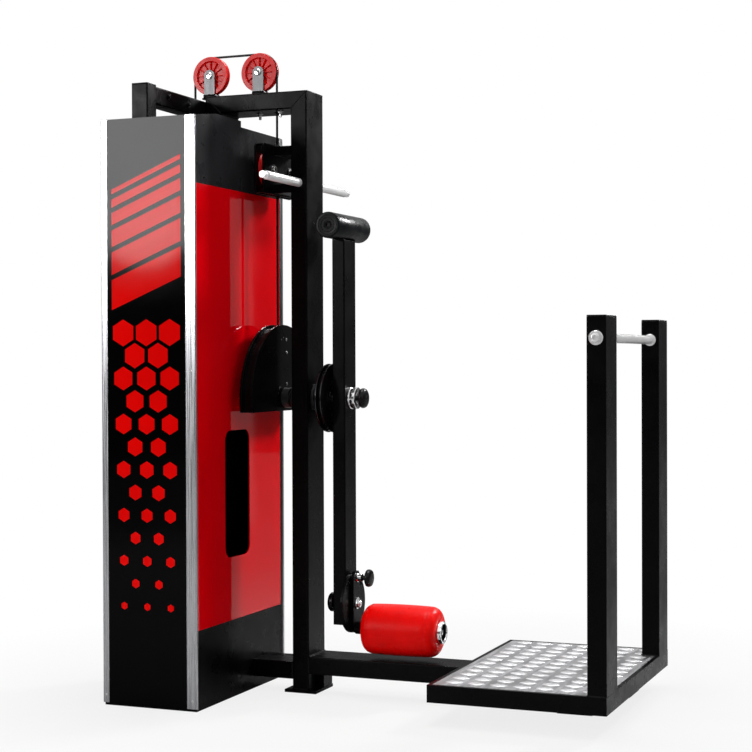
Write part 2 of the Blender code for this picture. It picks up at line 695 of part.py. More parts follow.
# Weight stack, its stand and its guide rods
def build_stack():
    low = PANEL_T * 2 + GAP
    out_y = STACK_D / 2
    in_y = out_y - STAND_SHEET
    under = RISER_TOP - STAND_SHEET
    bm = bmesh.new()
    add_plate(bm, [
        (-out_y, low), (-in_y, low), (-in_y, under), (in_y, under), (in_y, low), (out_y, low),
        (out_y, RISER_TOP), (-out_y, RISER_TOP)], STACK_X0, STACK_X1)
    make("stack_stand", bm, BLACK_PAINT, smooth=False)
    bumper = box(
        "stack_bumper", RUBBER, STACK_X0 + BUMPER_IN, STACK_X1 - BUMPER_IN,
        -STACK_D / 2 + BUMPER_IN, STACK_D / 2 - BUMPER_IN, RISER_TOP + GAP, STACK_Z0 - GAP)
    for name, side in (("guide_rod_front", -1), ("guide_rod_rear", 1)):
        place = rod_place(side)
        turned(name, CHROME, rod_profile(ROD_R, RISER_TOP + GAP, ROD_TOP - GAP), "Z", place, 20)
        cut(bumper, rod_cutter(
            "bore_bumper_" + name, ROD_R + RUN, "Z", place, RISER_TOP - RUN, STACK_Z0 + RUN, 20))
    bracket = box(
        "rod_bracket", BLACK_PAINT, STACK_X0, SIDE_POST_X - TUBE_W / 2 - GAP,
        -STACK_D / 2 + ROD_BRACKET_IN, STACK_D / 2 - ROD_BRACKET_IN, ROD_TOP, ROD_TOP + ROD_BRACKET_T)
    cut(bracket, rod_cutter(
        "bore_rod_bracket", CABLE_R + CABLE_CLEAR, "Z", (CABLE_STACK_X, 0, ROD_TOP),
        -ROD_BRACKET_T, 2 * ROD_BRACKET_T))
    fixed = PLATES - PLATES_LIFTED
    fixed_plates = plate_block("fixed_plates", 0, fixed)
    lifted = plate_block("lifted_plates", fixed, PLATES)
    for side in (-1, 1):
        bore = rod_cutter(
            "bore_plates_" + ("front" if side < 0 else "rear"), ROD_R + RUN, "Z",
            rod_place(side), STACK_Z0 - RUN, STACK_TOP + RUN, segments=20)
        cut(fixed_plates, bore)
        cut(lifted, bore)
    bore = rod_cutter(
        "bore_selector", SELECTOR_R + RUN, "Z", (CABLE_STACK_X, 0, 0), STACK_Z0 - RUN, STACK_TOP + RUN,
        segments=20)
    cut(fixed_plates, bore)
    cut(lifted, bore)
    selector = turned(
        "selector_rod", CHROME,
        rod_profile(SELECTOR_R, STACK_Z0 + PLATE_T, STACK_TOP + SELECTOR_HEAD, EDGE_EASE), "Z",
        (CABLE_STACK_X, 0, 0), 20)
    pin_bore = rod_cutter(
        "bore_pin", PIN_R + GAP, "Y", (CABLE_STACK_X, 0, PIN_Z), -STACK_D / 2 - SELECTOR_R,
        SELECTOR_R + 2 * RUN, 16)
    cut(lifted, pin_bore)
    cut(selector, pin_bore)
    tip = SELECTOR_R - RUN
    head = -STACK_D / 2 - RUN
    pin = turned("selector_pin", RED_PLASTIC, [
        (0, tip), (PIN_R, tip), (PIN_R, head), (PIN_HEAD, head), (PIN_HEAD, head - PIN_HEAD_L),
        (0, head - PIN_HEAD_L)], "Y", (CABLE_STACK_X, 0, PIN_Z), 16)
    hang(axis_empty("stack_axis", (CABLE_STACK_X, 0, STACK_TOP)), lifted, selector, pin)


def plate_block(name, first, last):
    """Plates first to last as one block, with a groove where two plates meet."""
    side = STACK_W / 2
    points = []
    for index in range(first, last):
        low = STACK_Z0 + index * PLATE_T
        high = low + PLATE_T - GAP
        if index > first:
            points += [(side - PLATE_GROOVE, low), (side, low + PLATE_GROOVE)]
        else:
            points.append((side, low))
        if index < last - 1:
            points.append((side, high - PLATE_GROOVE))
        else:
            points.append((side, high))
    outline = points + [(-u, z) for u, z in reversed(points)]
    bm = bmesh.new()
    add_plate(bm, outline, -STACK_D / 2, STACK_D / 2)
    turn = Matrix.Rotation(math.radians(90), 4, "Z")
    bm.transform(Matrix.Translation((CABLE_STACK_X, 0, 0)) @ turn)
    return make(name, bm, CAST_IRON, smooth=False)


# Pulleys over the top beam
def pulley_profile(rim, groove, width, bore):
    half = width / 2
    lip = half * LIP_SHARE
    return [
        (bore, -half), (rim, -half), (rim, -half + lip), (groove, -lip), (groove, lip),
        (rim, half - lip), (rim, half), (bore, half)]


def ribbed_wheel(name, centre):
    """A top pulley: closed web, with pockets on both sides and radial ribs between them."""
    half = PULLEY_W / 2
    web = PULLEY_WEB_T / 2
    ring = PULLEY_GROOVE - PULLEY_RING_T
    section = pulley_profile(PULLEY_RIM, PULLEY_GROOVE, PULLEY_W, AXLE_R + 2 * GAP)
    near = [(PULLEY_HUB_R, -half), (PULLEY_HUB_R, -web), (ring, -web), (ring, -half)]
    far = [(radius, -along) for radius, along in reversed(near)]
    outline = [section[0], *near, *section[1:-1], *far, section[-1]]
    count = len(outline)
    walls = ([1, 2, 3, 4], [count - 5, count - 4, count - 3, count - 2])
    flush = [k for k in range(count) if k not in (2, 3, count - 4, count - 3)]
    turn = math.tau / PULLEY_RIBS
    rib = RIB_HALF_W / PULLEY_HUB_R
    steps = 3
    bm = bmesh.new()
    rings = []
    for index in range(PULLEY_RIBS):
        for step in range(steps + 1):
            angle = index * turn + rib + (turn - 2 * rib) * step / steps
            rings.append([
                bm.verts.new((radius * math.cos(angle), radius * math.sin(angle), along))
                for radius, along in outline])
    for index, ring_verts in enumerate(rings):
        following = rings[(index + 1) % len(rings)]
        place = index % (steps + 1)
        used = flush if place == steps else list(range(count))
        for k, n in zip(used, used[1:] + used[:1]):
            bm.faces.new((ring_verts[k], ring_verts[n], following[n], following[k]))
        if place in (0, steps):
            for wall in walls:
                bm.faces.new([ring_verts[k] for k in wall])
    bm.transform(Matrix.Translation(centre) @ TURN["Y"])
    return make(name, bm, RED_PLASTIC)


def build_top_pulleys():
    base = FRAME_TOP + GAP
    top = PULLEY_Z
    half = PULLEY_W / 2 + RUN
    for name, x in (("pulley_left", PULLEY_LEFT_X), ("pulley_right", PULLEY_RIGHT_X)):
        place = (x, 0, PULLEY_Z)
        wheel = ribbed_wheel(name, place)
        hang(axis_empty(name + "_axis", place), wheel)
    for end, x in (("left", PULLEY_LEFT_X), ("right", PULLEY_RIGHT_X)):
        outline = [(x + BRACKET_W / 2, base), (x + BRACKET_W / 2, top)]
        for step in range(1, BRACKET_STEPS):
            angle = math.pi * step / BRACKET_STEPS
            outline.append((
                x + BRACKET_W / 2 * math.cos(angle), top + BRACKET_W / 2 * math.sin(angle)))
        outline += [(x - BRACKET_W / 2, top), (x - BRACKET_W / 2, base)]
        bm = bmesh.new()
        outer = half + BRACKET_T
        near = [bm.verts.new((u, -outer, v)) for u, v in outline]
        far = [bm.verts.new((u, outer, v)) for u, v in outline]
        bm.faces.new(near)
        bm.faces.new(far)
        for k in range(len(outline)):
            n = (k + 1) % len(outline)
            bm.faces.new((near[k], near[n], far[n], far[k]))
        bracket = make("pulley_bracket_" + end, bm, DARK_SHEET)
        bm = bmesh.new()
        add_box(
            bm, x - BRACKET_W, x + BRACKET_W, -half, half, base + BRACKET_BASE, top + BRACKET_W)
        cut(bracket, cutter_from("fork_" + end, bm))
        cut(bracket, rod_cutter(
            "bore_bracket_" + end, AXLE_R + GAP, "Y", (x, 0, PULLEY_Z), -PULLEY_W, PULLEY_W, 16))
        bm = bmesh.new()
        add_bolt(bm, "Y", (x, 0, PULLEY_Z), AXLE_R, half + BRACKET_T)
        make("pulley_axle_" + end, bm, CHROME)


def add_bolt(bm, axis, centre, radius, reach):
    """An axle bolt with a round head at each end, clamping plates at plus and minus reach."""
    head = radius * BOLT_HEAD
    thick = radius * BOLT_HEAD_T
    seat = reach + GAP
    add_turned(bm, [
        (0, -seat - thick), (head, -seat - thick), (head, -seat), (radius, -seat),
        (radius, seat), (head, seat), (head, seat + thick), (0, seat + thick)], axis, centre, 18)


# Guide pulleys between two plates, held on the main post above the cam
def build_guides():
    half = GUIDE_W / 2 + RUN
    for name, y in (("guide_pulley_front", -GUIDE_Y), ("guide_pulley_rear", GUIDE_Y)):
        place = (CABLE_CAM_X, y, GUIDE_Z)
        wheel = turned(
            name, RED_PLASTIC, pulley_profile(GUIDE_RIM, GUIDE_GROOVE, GUIDE_W, AXLE_R + 2 * GAP),
            "X", place, 36)
        hang(axis_empty(name + "_axis", place), wheel)
    mid_z = (GUIDE_PLATE_Z0 + GUIDE_PLATE_Z1) / 2
    outline = [
        (u, mid_z + v) for u, v in rounded_outline(
            2 * GUIDE_PLATE_Y, GUIDE_PLATE_Z1 - GUIDE_PLATE_Z0, GUIDE_CORNER, steps=4)]
    left = CABLE_CAM_X - half - GUIDE_PLATE_T
    right = CABLE_CAM_X + half + GUIDE_PLATE_T
    bm = bmesh.new()
    add_plate(bm, outline, left, right)
    housing = make("guide_housing", bm, BLACK_PAINT)
    bm = bmesh.new()
    add_box(
        bm, CABLE_CAM_X - half, CABLE_CAM_X + half, -GUIDE_PLATE_Y - RUN, GUIDE_PLATE_Y + RUN,
        GUIDE_PLATE_Z0 - RUN, GUIDE_PLATE_Z1 + RUN)
    cut(housing, cutter_from("space_guide_housing", bm))
    for side in (-1, 1):
        for low, label in ((GUIDE_PLATE_Z0, "low"), (GUIDE_PLATE_Z1 - SPACER_H, "high")):
            far = GUIDE_PLATE_Y - SPACER_IN
            y0, y1 = sorted((side * (far - SPACER_H), side * far))
            weld_box(
                housing, label + ("_front" if side < 0 else "_rear"), left + WELD, right - WELD,
                y0, y1, low + WELD, low + SPACER_H - WELD)
    for low, label in (
            (GUIDE_PLATE_Z0 + BRACKET_T, "low_arm"),
            (GUIDE_PLATE_Z1 - BRACKET_T - GUIDE_BRACKET_H, "high_arm")):
        weld_box(
            housing, label, right - WELD, -TUBE_W / 2 - GAP, -TUBE_D / 2 + BRACKET_T,
            TUBE_D / 2 - BRACKET_T, low, low + GUIDE_BRACKET_H)
    for y, label in ((-GUIDE_Y, "front_axle"), (GUIDE_Y, "rear_axle")):
        bm = bmesh.new()
        add_bolt(bm, "X", (CABLE_CAM_X, y, GUIDE_Z), AXLE_R, half + GUIDE_PLATE_T - GAP - WELD / 2)
        weld(housing, cutter_from(label, bm))


# Cable: stack to left pulley, over both pulleys, down to the cam
def arc_points(centre_x, centre_z, radius, start, end, steps):
    points = []
    for step in range(steps + 1):
        angle = math.radians(start + (end - start) * step / steps)
        x = centre_x + radius * math.cos(angle)
        points.append(Vector((x, 0, centre_z + radius * math.sin(angle))))
    return points


def cable(name, points):
    curve = bpy.data.curves.new(name, "CURVE")
    curve.dimensions = "3D"
    curve.bevel_depth = CABLE_R
    curve.bevel_resolution = 2
    curve.use_fill_caps = True
    spline = curve.splines.new("POLY")
    spline.points.add(len(points) - 1)
    for target, point in zip(spline.points, points):
        target.co = (*point, 1.0)
    obj = bpy.data.objects.new(name, curve)
    bpy.context.scene.collection.objects.link(obj)
    finish(obj, CABLE_COAT)
    return obj


def build_cable():
    lay = PULLEY_GROOVE + CABLE_R + GAP
    left = arc_points(PULLEY_LEFT_X, PULLEY_Z, lay, 180, 90, 10)
    right = arc_points(PULLEY_RIGHT_X, PULLEY_Z, lay, 90, 0, 10)
    drop = Vector((PULLEY_RIGHT_X + lay, 0, PIVOT_Z + CAM_R - CAM_GROOVE + GAP))
    straight = (PULLEY_Z - drop.z) / 6
    for step in range(1, 6):
        right.append(Vector((drop.x, 0, PULLEY_Z - step * straight)))
    cable("cable", left + right + [drop])
    stack_x = PULLEY_LEFT_X - lay
    low = STACK_TOP + SELECTOR_HEAD + GAP
    cable("cable_stack", [Vector((stack_x, 0, low)), Vector((stack_x, 0, PULLEY_Z - GAP))])


def arc_outline(inner, outer, start, end, steps):
    """Outline of a sector of a disc or ring."""
    angles = [start + (end - start) * step / steps for step in range(steps + 1)]
    points = [(outer * math.cos(angle), outer * math.sin(angle)) for angle in angles]
    if inner > 0:
        points += [(inner * math.cos(angle), inner * math.sin(angle)) for angle in reversed(angles)]
    else:
        points.append((0, 0))
    return points


# Lever: shaft through the post, twin-plate cam on the tower side, index disc on the other
def build_lever():
    place = (0, 0, PIVOT_Z)
    for name, side in (("bearing_left", -1), ("bearing_right", 1)):
        low, high = sorted((side * (TUBE_W / 2 + GAP), side * (TUBE_W / 2 + BEARING_T)))
        turned(name, CAST_IRON, ring_profile(SHAFT_R + GAP, BEARING_R, low, high), "X", place, 32)
    shaft = turned(
        "pivot_shaft", CHROME, rod_profile(SHAFT_R, CAM_X0 - SHAFT_END, ARM_X1 + HUB_T, EDGE_EASE),
        "X", place)
    outline = []
    start = -math.asin(CAM_FLAT / CAM_R)
    steps = 28
    for step in range(steps + 1):
        angle = start + (math.pi - 2 * start) * step / steps
        outline.append((CAM_R * math.cos(angle), PIVOT_Z + CAM_R * math.sin(angle)))
    bm = bmesh.new()
    add_plate(bm, outline, CAM_X0, CAM_X1)
    cam = make("cam", bm, BLACK_PAINT)
    rim_in = CAM_R - CAM_GROOVE - CAM_RIM_T
    rim_out = CAM_R - CAM_GROOVE
    for name, inner, outer in (("space_cam", 0, rim_in), ("groove_cam", rim_out, CAM_R * 1.2)):
        points = arc_outline(inner, outer, math.radians(-60), math.radians(240), 40)
        bm = bmesh.new()
        add_plate(
            bm, [(y, PIVOT_Z + z) for y, z in points], CAM_X0 + CAM_PLATE_T, CAM_X1 - CAM_PLATE_T)
        cut(cam, cutter_from(name, bm))
    cut(cam, rod_cutter("bore_cam", SHAFT_R + GAP, "X", place, -CAM_R, CAM_R))
    half = DISC_T / 2
    lip = half - DISC_LIP_T
    floor = DISC_R - DISC_LIP_H
    disc = turned("index_disc", BLACK_PAINT, [
        (SHAFT_R + GAP, -half), (DISC_R, -half), (DISC_R, -lip), (floor, RUN - lip),
        (floor, lip - RUN), (DISC_R, lip), (DISC_R, half), (SHAFT_R + GAP, half)],
        "X", (DISC_X, 0, PIVOT_Z), 48)
    hang(axis_empty("lever_axis", place), shaft, cam, disc)


def knob_profile(radius, low, high):
    """Outer edge of a turned knob, its face more rounded than its back."""
    return [
        (radius - KNOB_BACK_EASE, low), (radius, low + KNOB_BACK_EASE),
        (radius, high - KNOB_FACE_EASE), (radius - KNOB_FACE_EASE, high), (0, high)]


# Arm: flat tube with a round weight on top and the hub with its pull knob
def build_arm():
    place = (0, 0, PIVOT_Z)
    arm = tube(
        "lever_arm", "Z", (ARM_X, 0), ARM_W, ARM_D, ARM_Z0, ARM_TOP, wall=ARM_WALL)
    lower = (0, 0, ROLLER_PIVOT_Z)
    cut(arm, rod_cutter("bore_arm", SHAFT_R + 2 * GAP, "X", place, 0, ARM_X * 2))
    cut(arm, rod_cutter("bore_arm_low", ROLLER_SHAFT_R + GAP, "X", lower, 0, ARM_X * 2, 24))
    half = WEIGHT_L / 2
    core = WEIGHT_CORE - half
    dish = WEIGHT_DISH - half
    weight = turned("counterweight", BLACK_PAINT, [
        (0, core), (WEIGHT_CORE_R - RUN, core), (WEIGHT_CORE_R + RUN, dish),
        (WEIGHT_DISH_R - RUN, dish), (WEIGHT_DISH_R + RUN, -half), (WEIGHT_R - WEIGHT_EASE, -half),
        (WEIGHT_R, WEIGHT_EASE - half), (WEIGHT_R, half - WEIGHT_EASE), (WEIGHT_R - WEIGHT_EASE, half),
        (0, half)], "Y", (ARM_X, 0, WEIGHT_Z + GAP), 40)
    hub = turned(
        "arm_hub", CHROME, ring_profile(SHAFT_R + 2 * GAP, HUB_R, ARM_X1 + GAP, ARM_X1 + HUB_T), "X",
        place)
    stem = ARM_X1 + HUB_T + GAP
    knob_x = ARM_X1 + HUB_T + KNOB_GAP
    knob = turned("pull_knob", BLACK_PLASTIC, [
        (0, stem), (KNOB_STEM_R, stem), (KNOB_STEM_R, knob_x),
        *knob_profile(KNOB_R, knob_x, knob_x + KNOB_T)], "X", place)
    disc = turned(
        "lower_disc", BLACK_PAINT,
        ring_profile(ROLLER_SHAFT_R + GAP, LOWER_DISC_R, LOWER_DISC_X0, LOWER_DISC_X0 + LOWER_DISC_T), "X",
        lower, 40)
    for index in range(INDEX_HOLES):
        angle = math.radians((index - (INDEX_HOLES - 1) / 2) * INDEX_STEP)
        reach = PLUNGER_Z - ROLLER_PIVOT_Z
        hole = (0, reach * math.sin(angle), ROLLER_PIVOT_Z + reach * math.cos(angle))
        cut(disc, rod_cutter(f"index_hole_{index}", PLUNGER_R + GAP, "X", hole, 0, ARM_X * 2, 12))
    collar = ROLLER_SHAFT_R + LOWER_COLLAR
    nut = ROLLER_PLATE_X1 + RUN
    bolt = turned("lower_pivot_bolt", BLACK_PLASTIC, [
        (0, LOWER_CAP_X), (LOWER_CAP_R - KNOB_BACK_EASE, LOWER_CAP_X),
        (LOWER_CAP_R, LOWER_CAP_X + KNOB_BACK_EASE), (LOWER_CAP_R, LOWER_CAP_X + LOWER_CAP_T),
        (collar, LOWER_CAP_X + LOWER_CAP_T), (collar, ARM_X0 - GAP), (ROLLER_SHAFT_R, ARM_X0 - GAP),
        (ROLLER_SHAFT_R, nut), (LOWER_NUT_R, nut), (LOWER_NUT_R, nut + LOWER_NUT_T),
        (0, nut + LOWER_NUT_T)], "X", lower, 24)
    hang(axis_empty("arm_axis", (ARM_X, 0, PIVOT_Z)), arm, weight, hub, knob, disc, bolt)


# Roller: bracket on the lower pivot, its plunger, the shaft and the padded roller
def build_roller():
    bm = bmesh.new()
    half = ROLLER_PLATE_W / 2
    low = ROLLER_Z - ROLLER_PLATE_LOW
    high = PLUNGER_Z + ROLLER_PLATE_HIGH
    foot = half - PLATE_FOOT_CUT_Y
    head = half - PLATE_HEAD_CUT_Y
    foot_z = low + PLATE_FOOT_CUT_Z
    head_z = high - PLATE_HEAD_CUT_Z
    add_plate(bm, [
        (-foot, low), (foot, low), (half, foot_z), (half, head_z), (head, high), (-head, high),
        (-half, head_z), (-half, foot_z)], ROLLER_PLATE_X0, ROLLER_PLATE_X1)
    plate = make("roller_bracket", bm, BLACK_PAINT)
    pivot = (0, 0, ROLLER_PIVOT_Z)
    latch = (0, 0, PLUNGER_Z)
    cut(plate, rod_cutter("bore_bracket", ROLLER_SHAFT_R + 2 * GAP, "X", pivot, 0, ROLLER_X0, 24))
    cut(plate, rod_cutter("bore_plunger", PLUNGER_R + GAP, "X", latch, 0, ROLLER_X0, 16))
    end = ROLLER_X0 + ROLLER_L
    inner = ROLLER_PLATE_X1 - WELD
    bm = bmesh.new()
    add_turned(bm, [
        (0, inner), (ROLLER_COLLAR_R, inner), (ROLLER_COLLAR_R, ROLLER_X0 - RUN),
        (ROLLER_SHAFT_R, ROLLER_X0 - RUN), (ROLLER_SHAFT_R, end - SHAFT_SHORT),
        (0, end - SHAFT_SHORT)], "X", (0, 0, ROLLER_Z), 24)
    weld(plate, cutter_from("roller_shaft", bm))
    bm = bmesh.new()
    sleeve = ring_profile(PLUNGER_R + GAP, SLEEVE_R, inner, ROLLER_PLATE_X1 + SLEEVE_L)
    add_turned(bm, sleeve, "X", latch, 24)
    weld(plate, cutter_from("plunger_sleeve", bm))
    plunger = turned("plunger", BLACK_PLASTIC, [
        (0, ROLLER_PLATE_X0), (PLUNGER_R, ROLLER_PLATE_X0), (PLUNGER_R, PLUNGER_KNOB_X),
        *knob_profile(PLUNGER_KNOB_R, PLUNGER_KNOB_X, PLUNGER_KNOB_X + PLUNGER_KNOB_T)],
        "X", latch, 24)
    roller = turned("roller", RED_VINYL, roller_profile(), "X", (0, 0, ROLLER_Z), 36)
    face = end + CAP_OUT
    cap = turned("roller_cap", CHROME, [
        (0, end - CAP_SEAT), (CAP_R, end - CAP_SEAT), (CAP_R, face - CAP_EASE), (CAP_R - CAP_EASE, face),
        (CAP_DIMPLE_R + RUN, face), (CAP_DIMPLE_R - RUN, face - CAP_DIMPLE), (0, face - CAP_DIMPLE)],
        "X", (0, 0, ROLLER_Z), 32)
    hang(axis_empty("roller_bracket_axis", (ARM_X, 0, ROLLER_PIVOT_Z)), plate, plunger)
    hang(axis_empty("roller_axis", (ROLLER_X0, 0, ROLLER_Z)), roller, cap)


def roller_profile():
    """A crowned roller with rounded ends, bored for its shaft, with a seat for the end cap."""
    bore = ROLLER_SHAFT_R + RUN
    end = ROLLER_X0 + ROLLER_L
    seat_r = CAP_R + RUN
    seat = end - CAP_SEAT - RUN
    flat = ROLLER_R - ROLLER_CROWN - ROLLER_ROUND
    steps = 4
    near = [(flat, ROLLER_X0)]
    for step in range(1, steps + 1):
        angle = math.radians(90 * step / steps)
        near.append((
            flat + ROLLER_ROUND * math.sin(angle), ROLLER_X0 + ROLLER_ROUND * (1 - math.cos(angle))))
    far = [(radius, ROLLER_X0 + end - along) for radius, along in reversed(near)]
    middle = (ROLLER_R, (ROLLER_X0 + end) / 2)
    return [(bore, ROLLER_X0), *near, middle, *far, (seat_r, end), (seat_r, seat), (bore, seat)]


# Bolt and washer that hold the hand bar to the front post
def build_handle_bolt():
    face = PLAT_Y0 - GAP
    tip = face - HANDLE_BOLT_L
    turned("handle_bolt", CHROME, [
        (0, tip), (HANDLE_BOLT_R - HANDLE_BOLT_EASE, tip), (HANDLE_BOLT_R, tip + HANDLE_BOLT_EASE),
        (HANDLE_BOLT_R, face - WASHER_T), (WASHER_R, face - WASHER_T), (WASHER_R, face), (0, face)],
        "Y", (PLAT_POST_X, 0, HANDLE_Z), 24)


build_main_frame()
build_base()
build_platform()
build_grips()
build_tower()
build_stack()
build_top_pulleys()
build_guides()
build_cable()
build_lever()
build_arm()
build_roller()
build_handle_bolt()
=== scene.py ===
"""Looks of the standing hip machine, built round its CAD frame.

Metres, +Z up, as in the CAD. Sections follow the machine as it is put together.
"""
import math

import bmesh
import bpy
from mathutils import Matrix, Vector


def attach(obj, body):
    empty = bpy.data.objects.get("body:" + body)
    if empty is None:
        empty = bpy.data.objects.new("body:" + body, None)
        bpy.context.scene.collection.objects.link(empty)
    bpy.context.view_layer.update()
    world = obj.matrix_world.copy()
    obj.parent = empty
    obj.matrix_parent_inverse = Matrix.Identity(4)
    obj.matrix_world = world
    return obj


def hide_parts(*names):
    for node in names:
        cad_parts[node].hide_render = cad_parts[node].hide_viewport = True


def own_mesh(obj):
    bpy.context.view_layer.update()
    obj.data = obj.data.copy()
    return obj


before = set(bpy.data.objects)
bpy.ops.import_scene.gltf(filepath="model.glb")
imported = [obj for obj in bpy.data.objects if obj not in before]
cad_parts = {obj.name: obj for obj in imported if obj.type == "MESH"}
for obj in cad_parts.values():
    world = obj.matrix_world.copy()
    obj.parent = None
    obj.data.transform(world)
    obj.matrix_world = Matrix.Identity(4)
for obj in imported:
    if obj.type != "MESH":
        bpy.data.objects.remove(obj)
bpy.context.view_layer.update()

# Black frame steel: 60 x 140 mm tube, mitred and welded into an upside-down U
# on a base beam, then powder coated in one go. The coat is satin, nearly black,
# with a slight orange peel, and it lies a little thicker over the welds.


def surface(name, colour, rough, metal=0.0, specular=0.5):
    """A Principled material, its node tree and its shader."""
    made = bpy.data.materials.new(name)
    made.use_nodes = True
    shader = made.node_tree.nodes["Principled BSDF"]
    shader.inputs["Base Color"].default_value = (*colour, 1.0)
    shader.inputs["Roughness"].default_value = rough
    shader.inputs["Metallic"].default_value = metal
    shader.inputs["Specular IOR Level"].default_value = specular
    return made, made.node_tree, shader


def cloud(tree, scale, detail=3.0, stretch=(1.0, 1.0, 1.0)):
    """Noise that lies still on the piece; stretch draws it out into streaks."""
    place = tree.nodes.new("ShaderNodeTexCoord")
    mapping = tree.nodes.new("ShaderNodeMapping")
    mapping.inputs["Scale"].default_value = stretch
    noise = tree.nodes.new("ShaderNodeTexNoise")
    noise.inputs["Scale"].default_value = scale
    noise.inputs["Detail"].default_value = detail
    tree.links.new(place.outputs["Object"], mapping.inputs["Vector"])
    tree.links.new(mapping.outputs["Vector"], noise.inputs["Vector"])
    return noise.outputs["Fac"]


def ranged(tree, value, low, high, start=0.35, end=0.65):
    """A pattern's middle range spread between two values."""
    node = tree.nodes.new("ShaderNodeMapRange")
    node.inputs["From Min"].default_value = start
    node.inputs["From Max"].default_value = end
    node.inputs["To Min"].default_value = low
    node.inputs["To Max"].default_value = high
    tree.links.new(value, node.inputs["Value"])
    return node.outputs["Result"]


def tint(tree, shader, pattern, dark, light):
    """Base colour that wanders between two tones with a pattern."""
    node = tree.nodes.new("ShaderNodeMix")
    node.data_type = "RGBA"
    node.inputs[6].default_value = (*dark, 1.0)
    node.inputs[7].default_value = (*light, 1.0)
    tree.links.new(ranged(tree, pattern, 0.0, 1.0), node.inputs[0])
    tree.links.new(node.outputs[2], shader.inputs["Base Color"])


def vary_roughness(tree, shader, pattern, low, high):
    """Roughness that wanders between two values with a pattern."""
    tree.links.new(ranged(tree, pattern, low, high), shader.inputs["Roughness"])


def raise_by(tree, shader, value, depth, strength=1.0, under=None):
    """Bump of a depth in metres, over another bump if one is given."""
    node = tree.nodes.new("ShaderNodeBump")
    node.inputs["Distance"].default_value = depth
    node.inputs["Strength"].default_value = strength
    tree.links.new(value, node.inputs["Height"])
    if under is not None:
        tree.links.new(under, node.inputs["Normal"])
    tree.links.new(node.outputs["Normal"], shader.inputs["Normal"])
    return node.outputs["Normal"]


def soft_edge(tree, radius):
    """Normals that round an edge off, for sheet and tube with sharp CAD corners."""
    node = tree.nodes.new("ShaderNodeBevel")
    node.samples = 4
    node.inputs["Radius"].default_value = radius
    return node.outputs["Normal"]


def powder_coat(name, dark, light, edge):
    """Satin paint with orange peel, over edges rounded by a radius."""
    made, tree, shader = surface(name, light, 0.3, specular=0.06)
    tint(tree, shader, cloud(tree, 5.0), dark, light)
    vary_roughness(tree, shader, cloud(tree, 11.0, 5.0), 0.24, 0.36)
    raise_by(tree, shader, cloud(tree, 260.0, 2.0), 0.00025, 0.35, soft_edge(tree, edge))
    return made


black_coat = powder_coat("black_coat", (0.0012, 0.0012, 0.0016), (0.0024, 0.0023, 0.0028), 0.0025)


def dress(material, *names):
    """Give CAD nodes a better material."""
    for name in names:
        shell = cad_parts[name]
        shell.data.materials.clear()
        shell.data.materials.append(material)


dress(
    black_coat, "main_post", "top_beam", "stack_side_post", "base_beam", "link_beam", "main_foot",
    "platform_spine", "platform_front_post", "platform_rear_post", "tower_base",
    "tower_front_frame", "stack_stand", "rod_bracket", "lever_arm")


def settle(name, bm, material, body, slot, *stands_for, smooth=35):
    """Turn a bmesh into a finished piece that rides on a body."""
    bmesh.ops.remove_doubles(bm, verts=bm.verts[:], dist=1e-6)
    bmesh.ops.recalc_face_normals(bm, faces=bm.faces[:])
    mesh = bpy.data.meshes.new(name)
    bm.to_mesh(mesh)
    bm.free()
    mesh.shade_smooth()
    mesh.set_sharp_from_angle(angle=math.radians(smooth))
    mesh.materials.append(material)
    piece = bpy.data.objects.new(name, mesh)
    bpy.context.scene.collection.objects.link(piece)
    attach(piece, body)
    if stands_for:
        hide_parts(*stands_for)
    return piece


def pour(bm, part):
    """Add a bmesh to another one and free it."""
    mesh = bpy.data.meshes.new("part")
    part.to_mesh(mesh)
    part.free()
    bm.from_mesh(mesh)
    bpy.data.meshes.remove(mesh)


def drawn_bead(bm, points, radius, sides=8):
    """Add a round bead or wire along points to a bmesh."""
    line = bpy.data.curves.new("bead", "CURVE")
    line.dimensions = "3D"
    line.bevel_depth = radius
    line.bevel_resolution = max(0, sides // 4 - 1)
    line.use_fill_caps = True
    spline = line.splines.new("POLY")
    spline.points.add(len(points) - 1)
    for target, point in zip(spline.points, points):
        target.co = (*point, 1.0)
    holder = bpy.data.objects.new("bead", line)
    mesh = bpy.data.meshes.new_from_object(holder)
    bm.from_mesh(mesh)
    bpy.data.meshes.remove(mesh)
    bpy.data.objects.remove(holder)
    bpy.data.curves.remove(line)


def ripple_line(start, end, radius, step=0.006):
    """Points along a hand-laid weld, which swings a little from side to side."""
    start, end = Vector(start), Vector(end)
    count = max(2, int((end - start).length / step))
    across = (end - start).normalized().orthogonal()
    points = []
    for index in range(count + 1):
        swing = math.sin(index * 2.1) * radius * 0.18
        points.append(start.lerp(end, index / count) + across * swing)
    return points


weld_coat, tree, shader = surface("weld_coat", (0.004, 0.004, 0.0045), 0.38, specular=0.12)
tint(tree, shader, cloud(tree, 60.0), (0.0015, 0.0015, 0.002), (0.004, 0.004, 0.0045))
vary_roughness(tree, shader, cloud(tree, 40.0), 0.30, 0.46)
raise_by(tree, shader, cloud(tree, 420.0, 2.0), 0.0006, 0.6)

HALF_TUBE = 0.030
HALF_DEPTH = 0.070
BEAM_LOW, BEAM_TOP = 1.990, 2.050
WELD_END = 0.004               # a bead stops this far short of a corner
MITRES = ((-0.030, 0.028), (-0.295, -0.353))     # x of each mitre, inner and outer


def weld(bm, start, end, swing, radius):
    """Add a hand-laid weld bead between two points."""
    drawn_bead(bm, ripple_line(start, end, swing), radius)


def weld_across(bm, x, z, swing, radius):
    """Add a weld along Y over the depth of a tube that lies in the middle."""
    reach = HALF_DEPTH - WELD_END
    weld(bm, (x, -reach, z), (x, reach, z), swing, radius)


